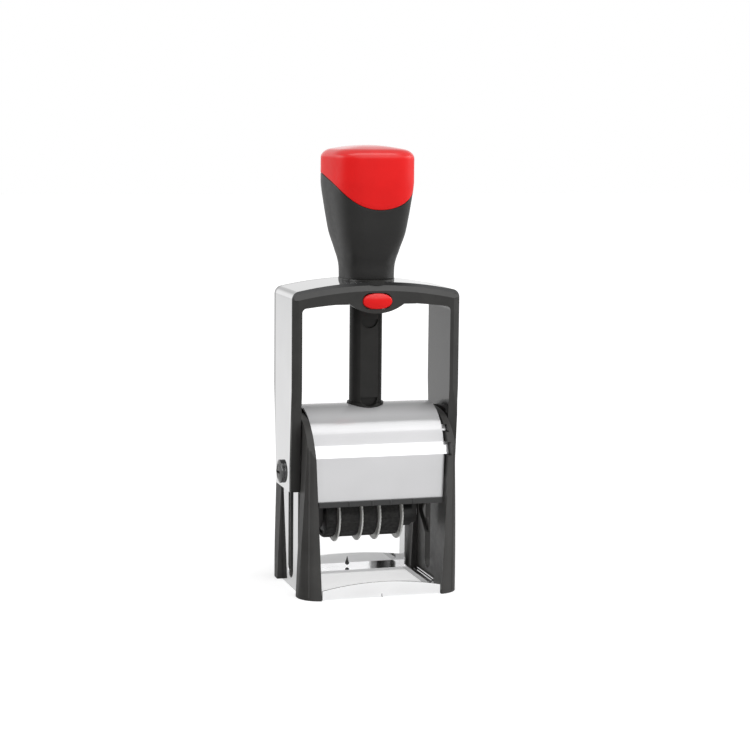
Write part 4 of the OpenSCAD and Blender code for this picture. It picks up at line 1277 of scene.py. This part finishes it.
@dataclass
class InkPad:
    """Felt block with soft edges and a crowned inking face."""

    round_edge: float = 0.8
    crown: float = 0.35
    side_gap: float = 0.05
    top_gap: float = 0.02
    crown_power: int = 4
    cuts: int = 6

    def build(self) -> None:
        """Model the felt in the space of its CAD block."""
        low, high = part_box("ink_pad_felt")
        low += Vector((self.side_gap, self.side_gap, self.crown)) * MM
        high -= Vector((self.side_gap, self.side_gap, self.top_gap)) * MM
        middle = (low + high) / 2
        half = (high - low) / 2
        bm = bmesh.new()
        place = Matrix.Translation(middle) @ Matrix.Diagonal((*(high - low), 1.0))
        bmesh.ops.create_cube(bm, size=1.0, matrix=place)
        bmesh.ops.bevel(
            bm, geom=bm.edges[:], offset=self.round_edge * MM, segments=3, profile=0.5, affect="EDGES",
            material=-1)
        bmesh.ops.subdivide_edges(bm, edges=bm.edges[:], cuts=self.cuts, use_grid_fill=True)
        for vert in bm.verts:
            if vert.co.z < middle.z:
                u = 1 - ((vert.co.x - middle.x) / half.x) ** self.crown_power
                v = 1 - ((vert.co.y - middle.y) / half.y) ** self.crown_power
                vert.co.z -= self.crown * MM * max(0.0, u) * max(0.0, v)
        bmesh.ops.recalc_face_normals(bm, faces=bm.faces)
        made = piece("felt_pad", bm, INKED_FELT, Body.INK_PAD.value, sharp=60.0, weighted=False)
        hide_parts("ink_pad_felt")


@dataclass
class Softbox:
    """Plain rectangular studio lamp that looks at the stamp, in metres."""

    name: str
    place: Point
    size: Span
    radiance: float
    aim: Point = (0.0, 0.0, 0.09)

    def build(self) -> None:
        """Hang the lamp and turn it to the stamp."""
        lamp = bpy.data.lights.new(self.name, "AREA")
        lamp.shape = "RECTANGLE"
        lamp.size, lamp.size_y = self.size
        lamp.energy = self.radiance * math.pi * self.size[0] * self.size[1]
        made = bpy.data.objects.new(self.name, lamp)
        made.location = self.place
        made.rotation_euler = (Vector(self.aim) - Vector(self.place)).to_track_quat("-Z", "Y").to_euler()
        bpy.context.scene.collection.objects.link(made)


@dataclass
class Studio:
    """Pale floor, white surroundings, soft lamps and the photo's camera.

    Lengths are in metres, unless their names say otherwise, and angles in radians.
    """

    floor_half: float = 4.0
    floor_colour: Colour = (0.7, 0.7, 0.7)
    floor_roughness: float = 0.9
    floor_specular: float = 0.1
    floor_glow: Span = (0.5, 0.75)
    floor_reach: Span = (0.2, 1.3)
    floor_mirrored: float = 0.5
    fill: float = 0.5
    ceiling: float = 0.45
    ceiling_from: Span = (0.2, 0.57)
    camera_mm: Point = (-238.71, -815.96, 205.59)
    yaw: float = 0.28957
    pitch: float = 0.132261
    roll: float = 0.0098
    focal_px: float = 1965.79
    image_px: float = 750.0
    sensor_mm: float = 36.0
    clip: Span = (0.01, 50.0)
    lamps: list[Softbox] = field(default_factory=lambda: [
        Softbox("front_box", (0.338, -1.14, 0.62), (1.3, 0.56), 2.0),
        Softbox("middle_box", (0.23, -0.77, 1.03), (1.4, 0.55), 0.8),
        Softbox("top_box", (0.0, -0.27, 1.25), (1.4, 0.5), 1.5),
        Softbox("left_box", (-1.15, 0.42, 0.45), (0.9, 0.8), 2.6),
        Softbox("right_box", (1.3, -0.15, 0.45), (0.8, 0.8), 3.0),
    ])

    def floor(self) -> None:
        """Lay the floor, which keeps the stamp's shadow."""
        graph = Graph("pale_floor")
        graph.fix(Base_Color=self.floor_colour, Emission_Color=WHITE)
        graph.fix(Roughness=self.floor_roughness, Specular_IOR_Level=self.floor_specular)
        far = graph.add("ShaderNodeVectorMath")
        far.operation = "LENGTH"
        graph.link(graph.place, far.inputs[0])
        glow = map_range(graph.tree, far.outputs["Value"], self.floor_reach, self.floor_glow)
        seen = self.seen_rays(graph.tree, self.floor_mirrored)
        strength = graph.math("MULTIPLY", seen, glow.outputs["Result"])
        graph.link(strength, graph.shader.inputs["Emission Strength"])
        bm = bmesh.new()
        bmesh.ops.create_grid(bm, x_segments=8, y_segments=8, size=self.floor_half)
        mesh = bpy.data.meshes.new("floor")
        bm.to_mesh(mesh)
        bm.free()
        mesh.materials.append(graph.material)
        made = bpy.data.objects.new("floor", mesh)
        bpy.context.scene.collection.objects.link(made)

    @staticmethod
    def seen_rays(tree: bpy.types.NodeTree, mirrored: float = 1.0) -> Socket:
        """Join the rays that see the background: camera, glossy and transmission.

        Args:
            tree: Node tree of the floor or the world.
            mirrored: What the glossy and the transmission rays count for.

        Returns:
            A socket that is 1 for camera rays, the given share for mirrored ones and 0 for the others.
        """
        path = tree.nodes.new("ShaderNodeLightPath")
        joined = path.outputs["Is Camera Ray"]
        for name in ("Is Glossy Ray", "Is Transmission Ray"):
            node = tree.nodes.new("ShaderNodeMath")
            node.operation = "MULTIPLY_ADD"
            node.inputs[1].default_value = mirrored
            tree.links.new(path.outputs[name], node.inputs[0])
            tree.links.new(joined, node.inputs[2])
            joined = node.outputs["Value"]
        return joined

    def world(self) -> None:
        """White surroundings under a grey ceiling, dimmer for the light that falls on the stamp."""
        world = bpy.data.worlds.new("studio")
        world.use_nodes = True
        tree = world.node_tree
        back = tree.nodes["Background"]
        back.inputs["Color"].default_value = (*WHITE, 1.0)
        way = tree.nodes.new("ShaderNodeTexCoord")
        split = tree.nodes.new("ShaderNodeSeparateXYZ")
        tree.links.new(way.outputs["Generated"], split.inputs["Vector"])
        seen = map_range(tree, split.outputs["Z"], self.ceiling_from, (1.0, self.ceiling))
        level = map_range(tree, self.seen_rays(tree), (0.0, 1.0), (self.fill, 1.0))
        tree.links.new(seen.outputs["Result"], level.inputs["To Max"])
        tree.links.new(level.outputs["Result"], back.inputs["Strength"])
        bpy.context.scene.world = world

    def camera(self) -> None:
        """Stand the camera where the photo was taken."""
        lens = bpy.data.cameras.new("photo_camera")
        lens.sensor_width = self.sensor_mm
        lens.lens = self.sensor_mm * self.focal_px / self.image_px
        lens.clip_start, lens.clip_end = self.clip
        made = bpy.data.objects.new("photo_camera", lens)
        made.location = Vector(self.camera_mm) * MM
        aim = Euler((math.pi / 2 - self.pitch, 0.0, -self.yaw)).to_matrix()
        made.rotation_euler = (aim @ Matrix.Rotation(self.roll, 3, "Z")).to_euler()
        bpy.context.scene.collection.objects.link(made)
        bpy.context.scene.camera = made

    def build(self) -> None:
        """Set up the whole studio."""
        bpy.context.scene.view_settings.view_transform = "Standard"
        self.camera()
        self.world()
        self.floor()
        for lamp in self.lamps:
            lamp.build()


def main() -> None:
    """Build every sub-assembly in order."""
    logging.basicConfig(level=logging.INFO, format="%(name)s %(message)s")
    assemblies = (
        Studio(),
        CadDress(SATIN_BLACK, ("left_side_frame", "right_side_frame"), edge=0.35),
        BezelDress(BEZEL_BLACK, ("yoke_bezel",), edge=0.3, shade=18.0),
        CadDress(SATIN_BLACK, ("die_carriage", "ink_pad_tray"), edge=0.2),
        CadDress(DARK_PLASTIC, ("pad_housing", "yoke_core"), edge=0.2),
        CollarDress(HANDLE_BLACK, ("handle_collar",), edge=0.1),
        CadDress(COLUMN_BLACK, ("guide_column",), edge=0.2),
        CadDress(CHROME, ("chassis",), edge=0.25),
        CadDress(STRIP_CHROME, ("yoke_strip",), edge=0.25),
        CadDress(SATIN_CHROME, ("top_cover",), edge=0.15, shade=3.4),
        CadDress(DARK_STEEL, ("left_pivot_screw", "right_pivot_screw"), edge=0.15),
        CadDress(STEEL, ("die_plate",), edge=0.1),
        CadDress(RUBBER, ("text_die",), edge=0.12),
        CadFinish(DARK_PLASTIC, ("pivot_bushes", "band_bridge", "axle_spacer")),
        CadFinish(STEEL, ("handle_screws", "wheel_axle", "axle_clips", "cam_pins")),
        Handle(),
        LockButton(),
        DateUnit(),
        Marks(),
        Coil(
            "return_coil", "return_spring", Body.BASE, "press", start=(0.0, 0.0, 71.193),
            axis=(0.0, 0.0, 1.0), radius=3.6, wire=1.0, runs=((1.25, 1.5), (19.5, 5.6), (1.25, 1.5)),
            anchor=(0.0, 0.0, 70.693), travel=43.0),
        Coil(
            "button_coil", "button_spring", Body.YOKE, "button_push", start=(0.0, -9.225, 127.827),
            axis=(0.0, -1.0, 0.0), radius=0.99, wire=0.35, runs=((4.0, 1.13),), anchor=(0.0, -9.35, 127.827),
            travel=1.6),
        InkPad(),
    )
    for assembly in assemblies:
        assembly.build()


if __name__ == "__main__":
    main()
